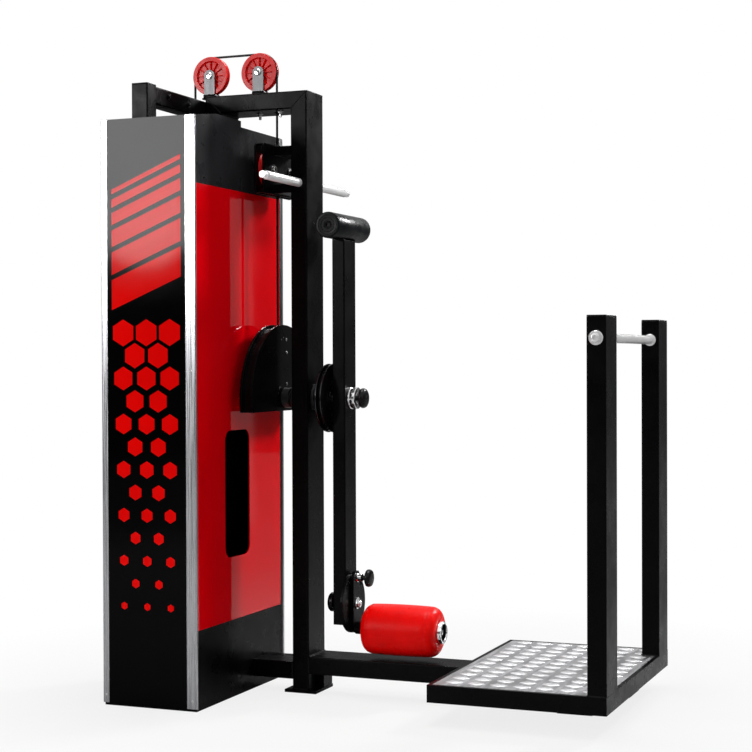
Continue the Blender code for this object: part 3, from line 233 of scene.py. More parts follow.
bm = bmesh.new()
for side in (-1, 1):
    y = side * (HALF_DEPTH - 0.0004)
    for inner, outer in MITRES:
        weld(bm, (inner, y, BEAM_LOW), (outer, y, BEAM_TOP - 0.002), 0.0012, 0.0014)
for x in (MITRES[0][0] + 0.0002, MITRES[1][0] - 0.0002):
    weld_across(bm, x, BEAM_LOW, 0.003, 0.0034)
settle("frame_corner_welds", bm, weld_coat, "frame", "black_paint")

BASE_LOW, BASE_TOP = 0.065, 0.125
FOOT_TOP = 0.0115              # just under the top of the foot plate
LINK_DROP = 0.020              # the beam into the tower lies lower than the base beam
bm = bmesh.new()
edge = HALF_TUBE + 0.0006
for z in (BASE_LOW + 0.001, BASE_TOP - 0.001):
    weld_across(bm, edge, z, 0.003, 0.0036)
for side in (-1, 1):
    y = side * (HALF_DEPTH - 0.001)
    low, high = BASE_LOW + WELD_END, BASE_TOP - WELD_END
    weld(bm, (edge, y, low), (edge, y, high), 0.003, 0.0034)
    weld(bm, (-edge, y, low - LINK_DROP), (-edge, y, high - LINK_DROP), 0.003, 0.0034)
for x in (-HALF_TUBE, HALF_TUBE):
    weld_across(bm, x, FOOT_TOP, 0.003, 0.0032)
for y in (-HALF_DEPTH, HALF_DEPTH):
    reach = HALF_TUBE - WELD_END
    weld(bm, (-reach, y, FOOT_TOP), (reach, y, FOOT_TOP), 0.003, 0.0032)
settle("base_welds", bm, weld_coat, "frame", "black_paint")

# Plastic plugs close the open tube ends: moulded black nylon, a flat head with
# a rounded edge over a collar that goes into the tube. They are a shade duller
# than the coat round them.


def moulded(name, colour, rough, grain=900.0, depth=0.0002):
    """Moulded plastic with a fine grain."""
    made, tree, shader = surface(name, colour, rough, specular=0.16)
    dark = tuple(c * 0.72 for c in colour)
    tint(tree, shader, cloud(tree, 14.0), dark, colour)
    vary_roughness(tree, shader, cloud(tree, 25.0), rough * 0.85, rough * 1.2)
    raise_by(tree, shader, cloud(tree, grain, 1.0), depth, 0.3)
    return made


black_nylon = moulded("black_nylon", (0.004, 0.004, 0.0045), 0.42)


def add_block(bm, low, high, ease=0.0, segments=2):
    """Add a block between two corners, its edges rounded."""
    low, high = Vector(low), Vector(high)
    size = high - low
    made = bmesh.ops.create_cube(
        bm, size=1.0,
        matrix=Matrix.Translation((low + high) / 2) @ Matrix.Diagonal((*size, 1.0)))
    if ease > 0.0:
        edges = list({e for v in made["verts"] for e in v.link_edges})
        bmesh.ops.bevel(
            bm, geom=edges, offset=ease, offset_type="OFFSET", segments=segments, profile=0.5,
            affect="EDGES", material=-1)


PLATFORM_POST_X = 1.110
PLATFORM_POST_YS = (-0.310, 0.430)
PLATFORM_POST_TOP = 1.262
HEAD_INSET, COLLAR_INSET = 0.0006, 0.0042
bm = bmesh.new()
for x, y, half_y, top in (
        (PLATFORM_POST_X, PLATFORM_POST_YS[0], HALF_DEPTH, PLATFORM_POST_TOP),
        (PLATFORM_POST_X, PLATFORM_POST_YS[1], HALF_DEPTH, PLATFORM_POST_TOP),
        (-0.3856, -0.4407, HALF_TUBE, 2.035)):
    for inset, low, high, ease, segments in (
            (HEAD_INSET, 0.0003, 0.0048, 0.0018, 3), (COLLAR_INSET, -0.018, 0.001, 0.0008, 2)):
        half = Vector((HALF_TUBE - inset, half_y - inset, 0))
        add_block(
            bm, Vector((x, y, top + low)) - half, Vector((x, y, top + high)) + half, ease, segments)
settle("tube_plugs", bm, black_nylon, "frame", "black_plastic")

# Weight tower: a sheet-steel kick panel and covers between bright extruded
# aluminium corner profiles. The profiles are brushed along their length and
# each is held by three small screws, at the foot, the middle and the head.
sheet_coat = powder_coat("sheet_coat", (0.0010, 0.0010, 0.0012), (0.0020, 0.0020, 0.0022), 0.001)
dress(sheet_coat, "kick_panel", "back_cover")

brushed, tree, shader = surface("brushed_aluminium", (0.52, 0.52, 0.54), 0.28, 1.0)
streaks = cloud(tree, 420.0, 2.0, (1.0, 1.0, 0.012))
tint(tree, shader, streaks, (0.42, 0.42, 0.44), (0.58, 0.58, 0.60))
vary_roughness(tree, shader, streaks, 0.20, 0.34)
raise_by(tree, shader, streaks, 0.00012, 0.4, soft_edge(tree, 0.0012))
dress(brushed, "profile_front_left", "profile_front_right", "profile_rear_right")

AXIS_TURN = {
    "X": Matrix.Rotation(math.radians(90), 4, "Y"),
    "Y": Matrix.Rotation(math.radians(-90), 4, "X"),
    "Z": Matrix.Identity(4),
}


def add_spun(bm, profile, axis, centre, steps=64):
    """Add a piece turned on a lathe: a (radius, along) profile spun about an axis."""
    part = bmesh.new()
    ring = [part.verts.new((radius, 0.0, along)) for radius, along in profile]
    pairs = list(zip(ring, ring[1:]))
    if profile[0][0] > 1e-6 or profile[-1][0] > 1e-6:
        pairs.append((ring[-1], ring[0]))
    edges = [part.edges.new(pair) for pair in pairs]
    bmesh.ops.spin(
        part, geom=ring + edges, cent=(0, 0, 0), axis=(0, 0, 1), angle=math.tau, steps=steps,
        use_merge=True)
    bmesh.ops.remove_doubles(part, verts=part.verts[:], dist=1e-6)
    bmesh.ops.recalc_face_normals(part, faces=part.faces[:])
    part.transform(Matrix.Translation(centre) @ AXIS_TURN[axis])
    pour(bm, part)


def turned(name, profile, axis, centre, steps, material, body, slot, *stands_for):
    """A finished piece that is one turned shape."""
    bm = bmesh.new()
    add_spun(bm, profile, axis, centre, steps)
    return settle(name, bm, material, body, slot, *stands_for)


def add_flat(bm, outline, y, thick):
    """Add a flat upright shape from its (x, z) outline, thick along +Y or -Y."""
    face = bm.faces.new([bm.verts.new((x, y, z)) for x, z in outline])
    grown = bmesh.ops.extrude_face_region(bm, geom=[face])
    moved = [item for item in grown["geom"] if isinstance(item, bmesh.types.BMVert)]
    bmesh.ops.translate(bm, verts=moved, vec=(0.0, thick, 0.0))


def add_dome(bm, place, half_sizes, around=16, rows=8):
    """Add an ellipsoid with its centre and axes given by a matrix."""
    bmesh.ops.create_uvsphere(
        bm, u_segments=around, v_segments=rows, radius=1.0,
        matrix=place @ Matrix.Diagonal((*half_sizes, 1)))


def add_screw(bm, axis, centre, radius, sign):
    """Add a low screw head with a hexagon socket, facing along sign on the axis."""
    high = socket = radius * 0.45
    profile = [
        (socket, 0.0), (radius, 0.0), (radius, high * 0.4), (radius * 0.72, high),
        (socket, high)]
    add_spun(bm, [(r, sign * a) for r, a in profile], axis, centre, 20)
    add_spun(
        bm, [(0, sign * high * 0.25), (socket, sign * high * 0.25), (socket, 0.0), (0, 0.0)], axis,
        centre, 6)


zinc, tree, shader = surface("zinc_plate", (0.72, 0.72, 0.70), 0.26, 1.0)
tint(tree, shader, cloud(tree, 120.0), (0.58, 0.58, 0.57), (0.78, 0.78, 0.77))
vary_roughness(tree, shader, cloud(tree, 200.0), 0.18, 0.36)
raise_by(tree, shader, cloud(tree, 900.0, 1.0), 0.0001, 0.3)

FRONT_Y = -0.475               # the tower's front face
SIDE_X = -0.180                # its side face, towards the main post
SEAT = 0.0004                  # screws sit this deep in the face
SCREW_R = 0.0042
TOWER_HEAD_Z = 1.898           # the upper row of screws
bm = bmesh.new()
for z in (0.034, 1.100, TOWER_HEAD_Z):
    add_screw(bm, "Y", (-0.5185, FRONT_Y + SEAT, z), SCREW_R, -1)
    add_screw(bm, "Y", (-0.1990, FRONT_Y + SEAT, z), SCREW_R, -1)
    add_screw(bm, "X", (SIDE_X - SEAT, 0.1740, z), SCREW_R, 1)
settle("profile_screws", bm, zinc, "frame", "satin_aluminium")

# A thin black strip along the front part of the rear profile's side face, where a dark line runs
# down the profile.
bm = bmesh.new()
add_block(bm, (SIDE_X - 0.0002, 0.1586, 0.0110), (SIDE_X + 0.0012, 0.1760, 1.9230), 0.0005)
settle("profile_black_strip", bm, black_nylon, "frame", "rubber")

# Front panel: one tall sheet of black acrylic with a generic print in red, bands
# and a field of hexagons that get smaller downwards. The print lies under the
# same deep gloss as the sheet.
panel_gloss, tree, shader = surface("panel_gloss", (0.004, 0.004, 0.005), 0.10, specular=0.06)
tint(tree, shader, cloud(tree, 2.5), (0.0006, 0.0006, 0.0008), (0.0012, 0.0012, 0.0015))
vary_roughness(tree, shader, cloud(tree, 7.0, 5.0), 0.06, 0.10)
raise_by(tree, shader, cloud(tree, 18.0, 1.0), 0.0004, 0.25)
dress(panel_gloss, "front_panel")

print_red, tree, shader = surface("print_red", (0.80, 0.012, 0.008), 0.18, specular=0.06)
tint(tree, shader, cloud(tree, 3.0), (0.76, 0.0012, 0.0008), (0.86, 0.0022, 0.0014))
vary_roughness(tree, shader, cloud(tree, 7.0, 5.0), 0.06, 0.10)
raise_by(tree, shader, cloud(tree, 18.0, 1.0), 0.0004, 0.25)

PRINT_LEFT, PRINT_RIGHT = -0.4900, -0.2340
PRINT_Y, FILM = FRONT_Y - 0.0001, 0.0003
BAND_RISE, BAND_GAP = 0.105, 0.017
HEX_ROWS, HEX_TOP_Z = 13, 1.225
HEX_PITCH_X, HEX_PITCH_Z = 0.0860, 0.0745
HEX_R, HEX_SHRINK = 0.0440, 0.0026
bm = bmesh.new()
low = 1.300
for thick in (0.098, 0.074, 0.055, 0.040, 0.027, 0.016):
    add_flat(bm, [
        (PRINT_LEFT, low), (PRINT_RIGHT, low + BAND_RISE), (PRINT_RIGHT, low + BAND_RISE + thick),
        (PRINT_LEFT, low + thick)], PRINT_Y, -FILM)
    low += thick + BAND_GAP
middle = (PRINT_LEFT + PRINT_RIGHT) / 2
for row in range(HEX_ROWS):
    radius = HEX_R - HEX_SHRINK * row
    centre_z = HEX_TOP_Z - row * HEX_PITCH_Z
    for shift in (-1, 0, 1) if row % 2 == 0 else (-0.5, 0.5):
        centre_x = middle + shift * HEX_PITCH_X
        add_flat(bm, [
            (centre_x + radius * math.sin(math.radians(60 * k)),
             centre_z + radius * math.cos(math.radians(60 * k))) for k in range(6)], PRINT_Y, -FILM)
settle("panel_print", bm, print_red, "frame", "gloss_black")

# Side panel: one sheet of translucent red acrylic, 4 mm, with a hand slot for the
# selector pin. It glows where light falls on it and mirrors the frame; the black
# inside of the tower shows through it only faintly.
red_acrylic, tree, shader = surface("red_acrylic", (0.78, 0.0006, 0.005), 0.03)
tint(tree, shader, cloud(tree, 1.5), (0.74, 0.0004, 0.004), (0.82, 0.0007, 0.006))
shader.inputs["Transmission Weight"].default_value = 0.22
shader.inputs["IOR"].default_value = 1.3
vary_roughness(tree, shader, cloud(tree, 5.0, 5.0), 0.02, 0.06)
raise_by(tree, shader, cloud(tree, 7.0, 1.0), 0.0006, 0.15)
dress(red_acrylic, "acrylic_panel")

# Upper side plate: sheet steel in a dark grey coat, held by four button screws.
grey_coat = powder_coat("grey_coat", (0.010, 0.010, 0.011), (0.018, 0.018, 0.020), 0.001)
dress(grey_coat, "upper_side_plate")
bm = bmesh.new()
for y in (-0.415, 0.128):
    for z in (1.728, TOWER_HEAD_Z):
        add_screw(bm, "X", (SIDE_X - SEAT, y, z), 0.0050, 1)
settle("side_plate_screws", bm, black_nylon, "frame", "black_plastic")

# Weight stack: cast plates with a hammered black coat on two chrome guide rods,
# over a rubber bumper on a folded stand. The lifted plates hang on the selector
# rod by the red-headed pin.
cast_coat, tree, shader = surface("cast_coat", (0.020, 0.020, 0.022), 0.5)
tint(tree, shader, cloud(tree, 30.0), (0.004, 0.004, 0.0045), (0.010, 0.010, 0.011))
vary_roughness(tree, shader, cloud(tree, 90.0), 0.38, 0.60)
raise_by(tree, shader, cloud(tree, 240.0, 4.0), 0.0012, 0.6, soft_edge(tree, 0.0015))
dress(cast_coat, "fixed_plates", "lifted_plates")

rubber, tree, shader = surface("rubber", (0.018, 0.018, 0.018), 0.75)
tint(tree, shader, cloud(tree, 50.0), (0.012, 0.012, 0.012), (0.022, 0.022, 0.022))
raise_by(tree, shader, cloud(tree, 500.0, 2.0), 0.0005, 0.5)
dress(rubber, "stack_bumper")


def bright_metal(name, colour, rough, turn_marks=(1.0, 1.0, 1.0)):
    """Plated steel with faint polishing marks."""
    made, tree, shader = surface(name, colour, rough, 1.0)
    marks = cloud(tree, 300.0, 2.0, turn_marks)
    dark = tuple(c * 0.93 for c in colour)
    tint(tree, shader, cloud(tree, 12.0), dark, colour)
    vary_roughness(tree, shader, marks, rough * 0.7, rough * 1.4)
    raise_by(tree, shader, marks, 0.00003, 0.3)
    return made


chrome = bright_metal("chrome", (0.88, 0.88, 0.89), 0.07)
STACK_X = -0.4303
GUIDE_RODS = ((-0.4643, -0.115), (-0.3963, 0.115))
bm = bmesh.new()
for x, y in GUIDE_RODS:
    add_spun(bm, [
        (0, 0.4403), (0.0094, 0.4403), (0.010, 0.4409), (0.010, 1.8792), (0.0094, 1.8797),
        (0, 1.8797)], "Z", (x, y, 0), 48)
settle("guide_rods", bm, chrome, "frame", "chrome", "guide_rod_front", "guide_rod_rear")

bm = bmesh.new()
for x, y in GUIDE_RODS:
    add_spun(bm, [
        (0.0115, 0.8953), (0.0210, 0.8953), (0.0210, 0.9010), (0.0160, 0.9040),
        (0.0115, 0.9040)], "Z", (x, y, 0), 40)
settle("rod_bushes", bm, black_nylon, "stack", "black_plastic")

turned("stack_rod", [
    (0, 0.5050), (0.0105, 0.5050), (0.012, 0.5070), (0.012, 0.9150), (0.0110, 0.9160),
    (0.0110, 0.9330), (0.0120, 0.9340), (0.0120, 0.9600), (0.0095, 0.9620), (0.0095, 0.9850),
    (0, 0.9850)], "Z", (STACK_X, 0, 0), 48, chrome, "stack", "chrome", "selector_rod")
bm = bmesh.new()
bmesh.ops.create_cone(
    bm, cap_ends=True, segments=6, radius1=0.0155, radius2=0.0155, depth=0.012,
    matrix=Matrix.Translation((STACK_X, 0, 0.9680)))
add_spun(
    bm, [(0.0096, 0.9600), (0.0190, 0.9600), (0.0190, 0.9618), (0.0096, 0.9618)], "Z",
    (STACK_X, 0, 0), 40)
settle("stack_rod_nut", bm, zinc, "stack", "chrome")


def gloss_plastic(name, dark, light, rough):
    """Hard moulded plastic with a shiny skin."""
    made, tree, shader = surface(name, light, rough, specular=0.22)
    tint(tree, shader, cloud(tree, 22.0), dark, light)
    vary_roughness(tree, shader, cloud(tree, 30.0), rough * 0.8, rough * 1.25)
    shader.inputs["Coat Weight"].default_value = 0.06
    shader.inputs["Coat Roughness"].default_value = 0.12
    raise_by(tree, shader, cloud(tree, 160.0, 2.0), 0.0003, 0.2)
    return made


red_nylon = gloss_plastic("red_nylon", (0.66, 0.003, 0.003), (0.86, 0.007, 0.005), 0.30)
turned("pin", [
    (0, 0.011), (0.0035, 0.011), (0.005, 0.009), (0.005, -0.1610), (0.010, -0.1612),
    (0.0130, -0.1640), (0.0135, -0.1700), (0.0165, -0.1740), (0.0180, -0.1800),
    (0.0180, -0.1850), (0.0150, -0.1900), (0.0080, -0.1910), (0, -0.1910)],
    "Y", (STACK_X, 0, 0.760), 40, red_nylon, "stack_pin", "red_plastic", "selector_pin")

# Top pulleys: injection-moulded red nylon wheels on a ball bearing, with a deep
# cable groove, a plain rim, twelve thin radial ribs and a thin web between them.
RIM_R, GROOVE_R, WHEEL_HALF = 0.067, 0.060, 0.012


def add_ribbed_pulley(bm, centre):
    """Add a turned wheel with radial ribs on both faces."""
    add_spun(bm, [
        (0.0068, -WHEEL_HALF), (0.0160, -WHEEL_HALF), (0.0172, -0.0108), (0.0176, -0.0042),
        (0.0190, -0.0030), (0.0494, -0.0030), (0.0508, -0.0044), (0.0516, -0.0110),
        (0.0526, -WHEEL_HALF), (0.0656, -WHEEL_HALF), (RIM_R, -0.0108), (0.0666, -0.0094),
        (0.0608, -0.0038), (GROOVE_R, -0.0020), (GROOVE_R, 0.0020), (0.0608, 0.0038),
        (0.0666, 0.0094), (RIM_R, 0.0108), (0.0656, WHEEL_HALF), (0.0526, WHEEL_HALF),
        (0.0516, 0.0110), (0.0508, 0.0044), (0.0494, 0.0030), (0.0190, 0.0030), (0.0176, 0.0042),
        (0.0172, 0.0108), (0.0160, WHEEL_HALF), (0.0068, WHEEL_HALF)], "Y", centre, 96)
    for index in range(12):
        rib = bmesh.new()
        add_block(rib, (0.0165, -0.0104, -0.0013), (0.0518, 0.0104, 0.0013), 0.0007, 2)
        turn = Matrix.Rotation(math.tau * index / 12, 4, "Y")
        rib.transform(Matrix.Translation(centre) @ turn)
        pour(bm, rib)


PULLEY_Z = 2.132
LEFT_X, RIGHT_X = -0.366, -0.177
PULLEYS = (("left", LEFT_X), ("right", RIGHT_X))
for label, x in PULLEYS:
    bm = bmesh.new()
    add_ribbed_pulley(bm, (x, 0, PULLEY_Z))
    settle("wheel_" + label, bm, red_nylon, "top_pulley_" + label, "red_plastic", "pulley_" + label)

# Pulley brackets: two flat bars of zinc-grey steel with round tops, welded to a
# short black base on the beam. A polished bolt through both bars is the axle.
flat_bar, tree, shader = surface("flat_bar_steel", (0.16, 0.16, 0.165), 0.42, 0.85)
grind = cloud(tree, 260.0, 3.0, (1.0, 1.0, 0.08))
tint(tree, shader, grind, (0.11, 0.11, 0.115), (0.19, 0.19, 0.195))
vary_roughness(tree, shader, grind, 0.34, 0.50)
raise_by(tree, shader, grind, 0.0002, 0.4, soft_edge(tree, 0.001))

BAR_HALF, BAR_THICK = 0.0205, 0.0048
BAR_INNER = 0.0131             # half the gap between the two bars
BAR_FOOT_Z = 2.0640
PAD_LOW = 2.0503               # just over the beam
BOLT_SEAT = 0.0182
for label, x in PULLEYS:
    bm = bmesh.new()
    for side in (-1, 1):
        outline = [(x - BAR_HALF, BAR_FOOT_Z), (x + BAR_HALF, BAR_FOOT_Z)]
        for k in range(21):
            angle = math.radians(9 * k)
            outline.append((
                x + BAR_HALF * math.cos(angle), PULLEY_Z + BAR_HALF * math.sin(angle)))
        add_flat(bm, outline, side * BAR_INNER, side * BAR_THICK)
    settle("bracket_bars_" + label, bm, flat_bar, "frame", "grey_sheet", "pulley_bracket_" + label)
    bm = bmesh.new()
    add_block(bm, (x - 0.0225, -0.0205, PAD_LOW), (x + 0.0225, 0.0205, 2.0668), 0.0015)
    add_block(bm, (x - 0.0300, -0.0160, PAD_LOW), (x + 0.0300, 0.0160, 2.0560), 0.0012)
    settle("bracket_base_" + label, bm, black_coat, "frame", "black_paint")
    bm = bmesh.new()
    for side in (-1, 1):
        head = [
            (0, 0.0), (0.0125, 0.0), (0.0125, 0.0012), (0.0105, 0.0016), (0.0105, 0.0050),
            (0.0088, 0.0070), (0, 0.0074)]
        add_spun(
            bm, [(r, side * (BOLT_SEAT + a)) for r, a in head], "Y", (x, 0, PULLEY_Z), 40)
    add_spun(
        bm, [(0, -BOLT_SEAT), (0.006, -BOLT_SEAT), (0.006, BOLT_SEAT), (0, BOLT_SEAT)], "Y",
        (x, 0, PULLEY_Z), 32)
    settle("axle_bolt_" + label, bm, chrome, "frame", "chrome", "pulley_axle_" + label)

# Cable: steel rope in a smooth black nylon sleeve, 8 mm over all. It rises from
# the stack, runs over both pulleys and drops through the beam to the cam.
cable_coat, tree, shader = surface("cable_coat", (0.012, 0.012, 0.013), 0.3, specular=0.2)
tint(tree, shader, cloud(tree, 80.0), (0.003, 0.003, 0.0035), (0.008, 0.008, 0.0085))
vary_roughness(tree, shader, cloud(tree, 120.0), 0.24, 0.38)
raise_by(tree, shader, cloud(tree, 700.0, 1.0, (1.0, 1.0, 0.35)), 0.0002, 0.3)
CABLE_R = 0.004
LAY = GROOVE_R + 0.0043        # the cable's middle on a pulley
CAM_END_Z = 1.2443             # where it reaches the cam's groove
STACK_END_Z, STACK_TOP_Z = 0.9853, 2.1317
points = []
for x, start, end in ((LEFT_X, 180, 90), (RIGHT_X, 90, 0)):
    for step in range(25):
        angle = math.radians(start + (end - start) * step / 24)
        points.append((x + LAY * math.cos(angle), 0, PULLEY_Z + LAY * math.sin(angle)))
for step in range(1, 13):
    points.append((RIGHT_X + LAY, 0, PULLEY_Z + (CAM_END_Z - PULLEY_Z) * step / 12))
bm = bmesh.new()
drawn_bead(bm, points, CABLE_R, 20)
settle("cable_over_pulleys", bm, cable_coat, "frame", "cable_coat", "cable", smooth=60)

stack_x = LEFT_X - LAY
run = STACK_TOP_Z - STACK_END_Z
bm = bmesh.new()
drawn_bead(bm, [(stack_x, 0, STACK_END_Z + run * k / 12) for k in range(13)], CABLE_R, 20)
stack_cable = settle(
    "cable_to_stack", bm, cable_coat, "frame", "cable_coat", "cable_stack", smooth=60)
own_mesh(stack_cable)

# Guide housing over the cam: two black plates with spacers, welded to the post
# by two short arms. Each guide pulley runs on a bright bolt through both plates.
dress(black_coat, "guide_housing")
GUIDE_X, GUIDE_Y, GUIDE_Z = -0.1127, 0.068, 1.785
HOUSING_RIGHT, HOUSING_LEFT = -0.0942, -0.1312   # outer faces, where the bolts seat
half_wheel = [
    (0.0068, 0.011), (0.0160, 0.011), (0.0172, 0.0098), (0.0180, 0.0045), (0.0480, 0.0045),
    (0.0492, 0.0098), (0.0504, 0.011), (0.0608, 0.011), (0.0620, 0.0098), (0.0614, 0.0086),
    (0.0566, 0.0034), (0.0560, 0.0018)]
guide_profile = [(r, -a) for r, a in half_wheel] + half_wheel[::-1]
for label, y in (("front", -GUIDE_Y), ("rear", GUIDE_Y)):
    turned(
        "guide_wheel_" + label, guide_profile, "X", (GUIDE_X, y, GUIDE_Z), 80, red_nylon,
        "guide_" + label, "red_plastic", "guide_pulley_" + label)


def add_hex_bolt(bm, axis, centre, radius, thick, sign, washer=1.45):
    """Add a hexagon head on a round washer; sign says which way it faces."""
    turn = Matrix.Translation(centre) @ AXIS_TURN[axis]
    plate = thick * 0.25
    made = bmesh.ops.create_cone(
        bm, cap_ends=True, segments=6, radius1=radius, radius2=radius, depth=thick,
        matrix=turn @ Matrix.Translation((0, 0, sign * (plate + thick / 2))))
    rims = [
        e for e in {e for v in made["verts"] for e in v.link_edges}
        if len(e.link_faces) == 2 and min(len(f.verts) for f in e.link_faces) == 4]
    bmesh.ops.bevel(
        bm, geom=rims, offset=thick * 0.12, offset_type="OFFSET", segments=2, profile=0.5,
        affect="EDGES", material=-1)
    rim = radius * washer
    add_spun(bm, [(0, 0), (rim, 0), (rim, sign * plate), (0, sign * plate)], axis, centre, 32)


bm = bmesh.new()
for y in (-GUIDE_Y, GUIDE_Y):
    add_hex_bolt(bm, "X", (HOUSING_RIGHT, y, GUIDE_Z), 0.0125, 0.0072, 1)
    add_hex_bolt(bm, "X", (HOUSING_LEFT, y, GUIDE_Z), 0.0125, 0.0072, -1)
settle("guide_bolts", bm, zinc, "frame", "chrome")

bm = bmesh.new()
for x, y in ((RIGHT_X, 0.0), (-0.085, -0.032)):
    under = (x, y, BEAM_LOW - 0.0003)
    add_hex_bolt(bm, "Z", under, 0.0080, 0.0080, -1)
    add_spun(
        bm, [(0, 0), (0.0045, 0), (0.0045, -0.020), (0.0035, -0.021), (0, -0.021)], "Z", under, 24)
settle("beam_nuts", bm, zinc, "frame", "chrome")

# Depth beam and tower post: the same black tube, bolted through to the side
# post. Two blackened bolt heads sit on the tube's side face.
DEPTH_BEAM_SIDE = -0.3551
bm = bmesh.new()
for y, z in ((-0.330, 2.012), (-0.190, 2.005)):
    add_hex_bolt(bm, "X", (DEPTH_BEAM_SIDE, y, z), 0.0065, 0.0050, 1)
settle("depth_beam_bolts", bm, black_nylon, "frame", "black_plastic")

# Grips on the post: chromed bars with a necked round cap at the outer end, each
# screwed into a boss inside the tube.
# This chrome is only 0.3 metallic, so its pale base colour shows as diffuse white: painted
# reflection standing in for the bright surroundings that real chrome mirrors.
bar_chrome_painted_reflection = bright_metal("bar_chrome_painted_reflection", (0.92, 0.92, 0.92), 0.16, (1.0, 0.05, 1.0))
bar_chrome_painted_reflection.node_tree.nodes["Principled BSDF"].inputs["Metallic"].default_value = 0.3
grip_profile = [
    (0, 0.0703), (0.0135, 0.0703), (0.0145, 0.0716), (0.0145, 0.3215), (0.0141, 0.3227),
    (0.0132, 0.3233), (0.0090, 0.3233), (0.0090, 0.3413), (0.0112, 0.3413), (0.0119, 0.3420),
    (0.0120, 0.3428), (0.0120, 0.3532), (0.0117, 0.3545), (0.0108, 0.3553), (0.0036, 0.3553),
    (0.0030, 0.3535), (0, 0.3535)]
GRIP_Z = 1.737
for label, side in (("front", -1), ("rear", 1)):
    turned(
        "hand_grip_" + label, [(r, side * a) for r, a in grip_profile], "Y", (0, 0, GRIP_Z), 64,
        bar_chrome_painted_reflection, "frame", "chrome", "grip_" + label)

# Lever shaft and bearings: a ground steel shaft in two cast flange bearings that
# are bolted to the post, left and right.
cast_iron, tree, shader = surface("cast_iron", (0.010, 0.010, 0.011), 0.5, 0.1)
tint(tree, shader, cloud(tree, 60.0), (0.006, 0.006, 0.0065), (0.014, 0.014, 0.015))
vary_roughness(tree, shader, cloud(tree, 90.0), 0.38, 0.58)
raise_by(tree, shader, cloud(tree, 300.0, 4.0), 0.0008, 0.6)
PIVOT = (0, 0, 1.004)
bearing_profile = [
    (0.0204, 0.0304), (0.0470, 0.0304), (0.0480, 0.0314), (0.0480, 0.0400), (0.0465, 0.0415),
    (0.0360, 0.0430), (0.0335, 0.0460), (0.0325, 0.0545), (0.0310, 0.0560), (0.0204, 0.0560)]
FLANGE_FACE, FLANGE_SCREW_R = 0.0412, 0.0410
for label, side in (("left", -1), ("right", 1)):
    turned(
        "flange_bearing_" + label, [(r, side * a) for r, a in bearing_profile], "X", PIVOT, 64,
        cast_iron, "frame", "cast_iron", "bearing_" + label)
    bm = bmesh.new()
    for k in range(4):
        angle = math.radians(45 + 90 * k)
        y, z = FLANGE_SCREW_R * math.cos(angle), FLANGE_SCREW_R * math.sin(angle)
        add_screw(bm, "X", (side * FLANGE_FACE, y, PIVOT[2] + z), SCREW_R, side)
    settle("bearing_screws_" + label, bm, zinc, "frame", "chrome")

turned("shaft", [
    (0, -0.1457), (0.0180, -0.1457), (0.020, -0.1437), (0.020, 0.1850), (0.0185, 0.1870),
    (0, 0.1870)], "X", PIVOT, 56, chrome, "lever", "chrome", "pivot_shaft")

# Cam: two laser-cut plates welded to a rim with a cable groove, black coated.
# Small cap screws in a column hold the cable clamp and the stop.
cam_coat = powder_coat("cam_coat", (0.0010, 0.0010, 0.0012), (0.0020, 0.0020, 0.0023), 0.0015)
dress(cam_coat, "cam")
CAM_RIGHT, CAM_LEFT = -0.0899, -0.1355          # where its screws seat
CAM_SCREW_R = 0.0052
bm = bmesh.new()
for y, z in ((0.018, 1.205), (0.022, 1.160), (0.020, 1.052), (-0.020, 1.010), (0.026, 0.975)):
    add_screw(bm, "X", (CAM_RIGHT, y, z), CAM_SCREW_R, 1)
    add_screw(bm, "X", (CAM_LEFT, y, z), CAM_SCREW_R, -1)
for y in (-0.110, -0.150):
    add_screw(bm, "X", (CAM_LEFT, y, 1.095), CAM_SCREW_R, -1)
settle("cam_screws", bm, zinc, "lever", "chrome")
turned("cam_collar", [
    (0.0204, -0.0860), (0.0340, -0.0860), (0.0350, -0.0850), (0.0350, -0.0600),
    (0.0340, -0.0590), (0.0204, -0.0590)], "X", PIVOT, 56, cast_iron, "lever", "cast_iron")

# Index disc and arm hub: a turned steel disc, painted black with its two rims
# blued and bare, and a chromed hub whose recesses take a hook spanner.
turned("indexing_disc", [
    (0.0204, 0.0750), (0.1150, 0.0750), (0.1166, 0.0758), (0.1170, 0.0770), (0.1170, 0.0808),
    (0.1160, 0.0820), (0.1058, 0.0832), (0.1050, 0.0840), (0.1050, 0.0920), (0.1058, 0.0928),
    (0.1160, 0.0940), (0.1170, 0.0952), (0.1170, 0.0990), (0.1166, 0.1002), (0.1150, 0.1010),
    (0.0600, 0.1010), (0.0585, 0.0990), (0.0450, 0.0990), (0.0435, 0.1010), (0.0204, 0.1010)],
    "X", PIVOT, 112, cam_coat, "lever", "black_paint", "index_disc")
bm = bmesh.new()
for x in (0.0789, 0.0971):
    add_spun(bm, [
        (0.11695, x - 0.0014), (0.11725, x - 0.0012), (0.11725, x + 0.0012),
        (0.11695, x + 0.0014)], "X", PIVOT, 112)
blued_steel = bright_metal("blued_steel", (0.05, 0.05, 0.055), 0.13)
settle("disc_bright_rims", bm, blued_steel, "lever", "satin_aluminium")

HUB = (0.003, 0, PIVOT[2])
turned("chrome_hub", [
    (0.0206, 0.1563), (0.0358, 0.1563), (0.0370, 0.1575), (0.0370, 0.1628), (0.0352, 0.1642),
    (0.0352, 0.1756), (0.0370, 0.1770), (0.0370, 0.1826), (0.0356, 0.1840), (0.0206, 0.1840)],
    "X", HUB, 72, chrome, "arm", "chrome", "arm_hub")
RECESSES = 10
# Each spanner recess is a flat black patch lying on the chrome hub, painted shade for its hollow;
# the hub itself is not cut.
bm = bmesh.new()
for k in range(RECESSES):
    turn = Matrix.Translation(PIVOT) @ Matrix.Rotation(math.tau * k / RECESSES, 4, "X")
    add_dome(bm, turn @ Matrix.Translation((0.1729, 0, 0.0350)), (0.0052, 0.0072, 0.0008))
settle("hub_recess_painted_shade", bm, black_nylon, "arm", "black_plastic")

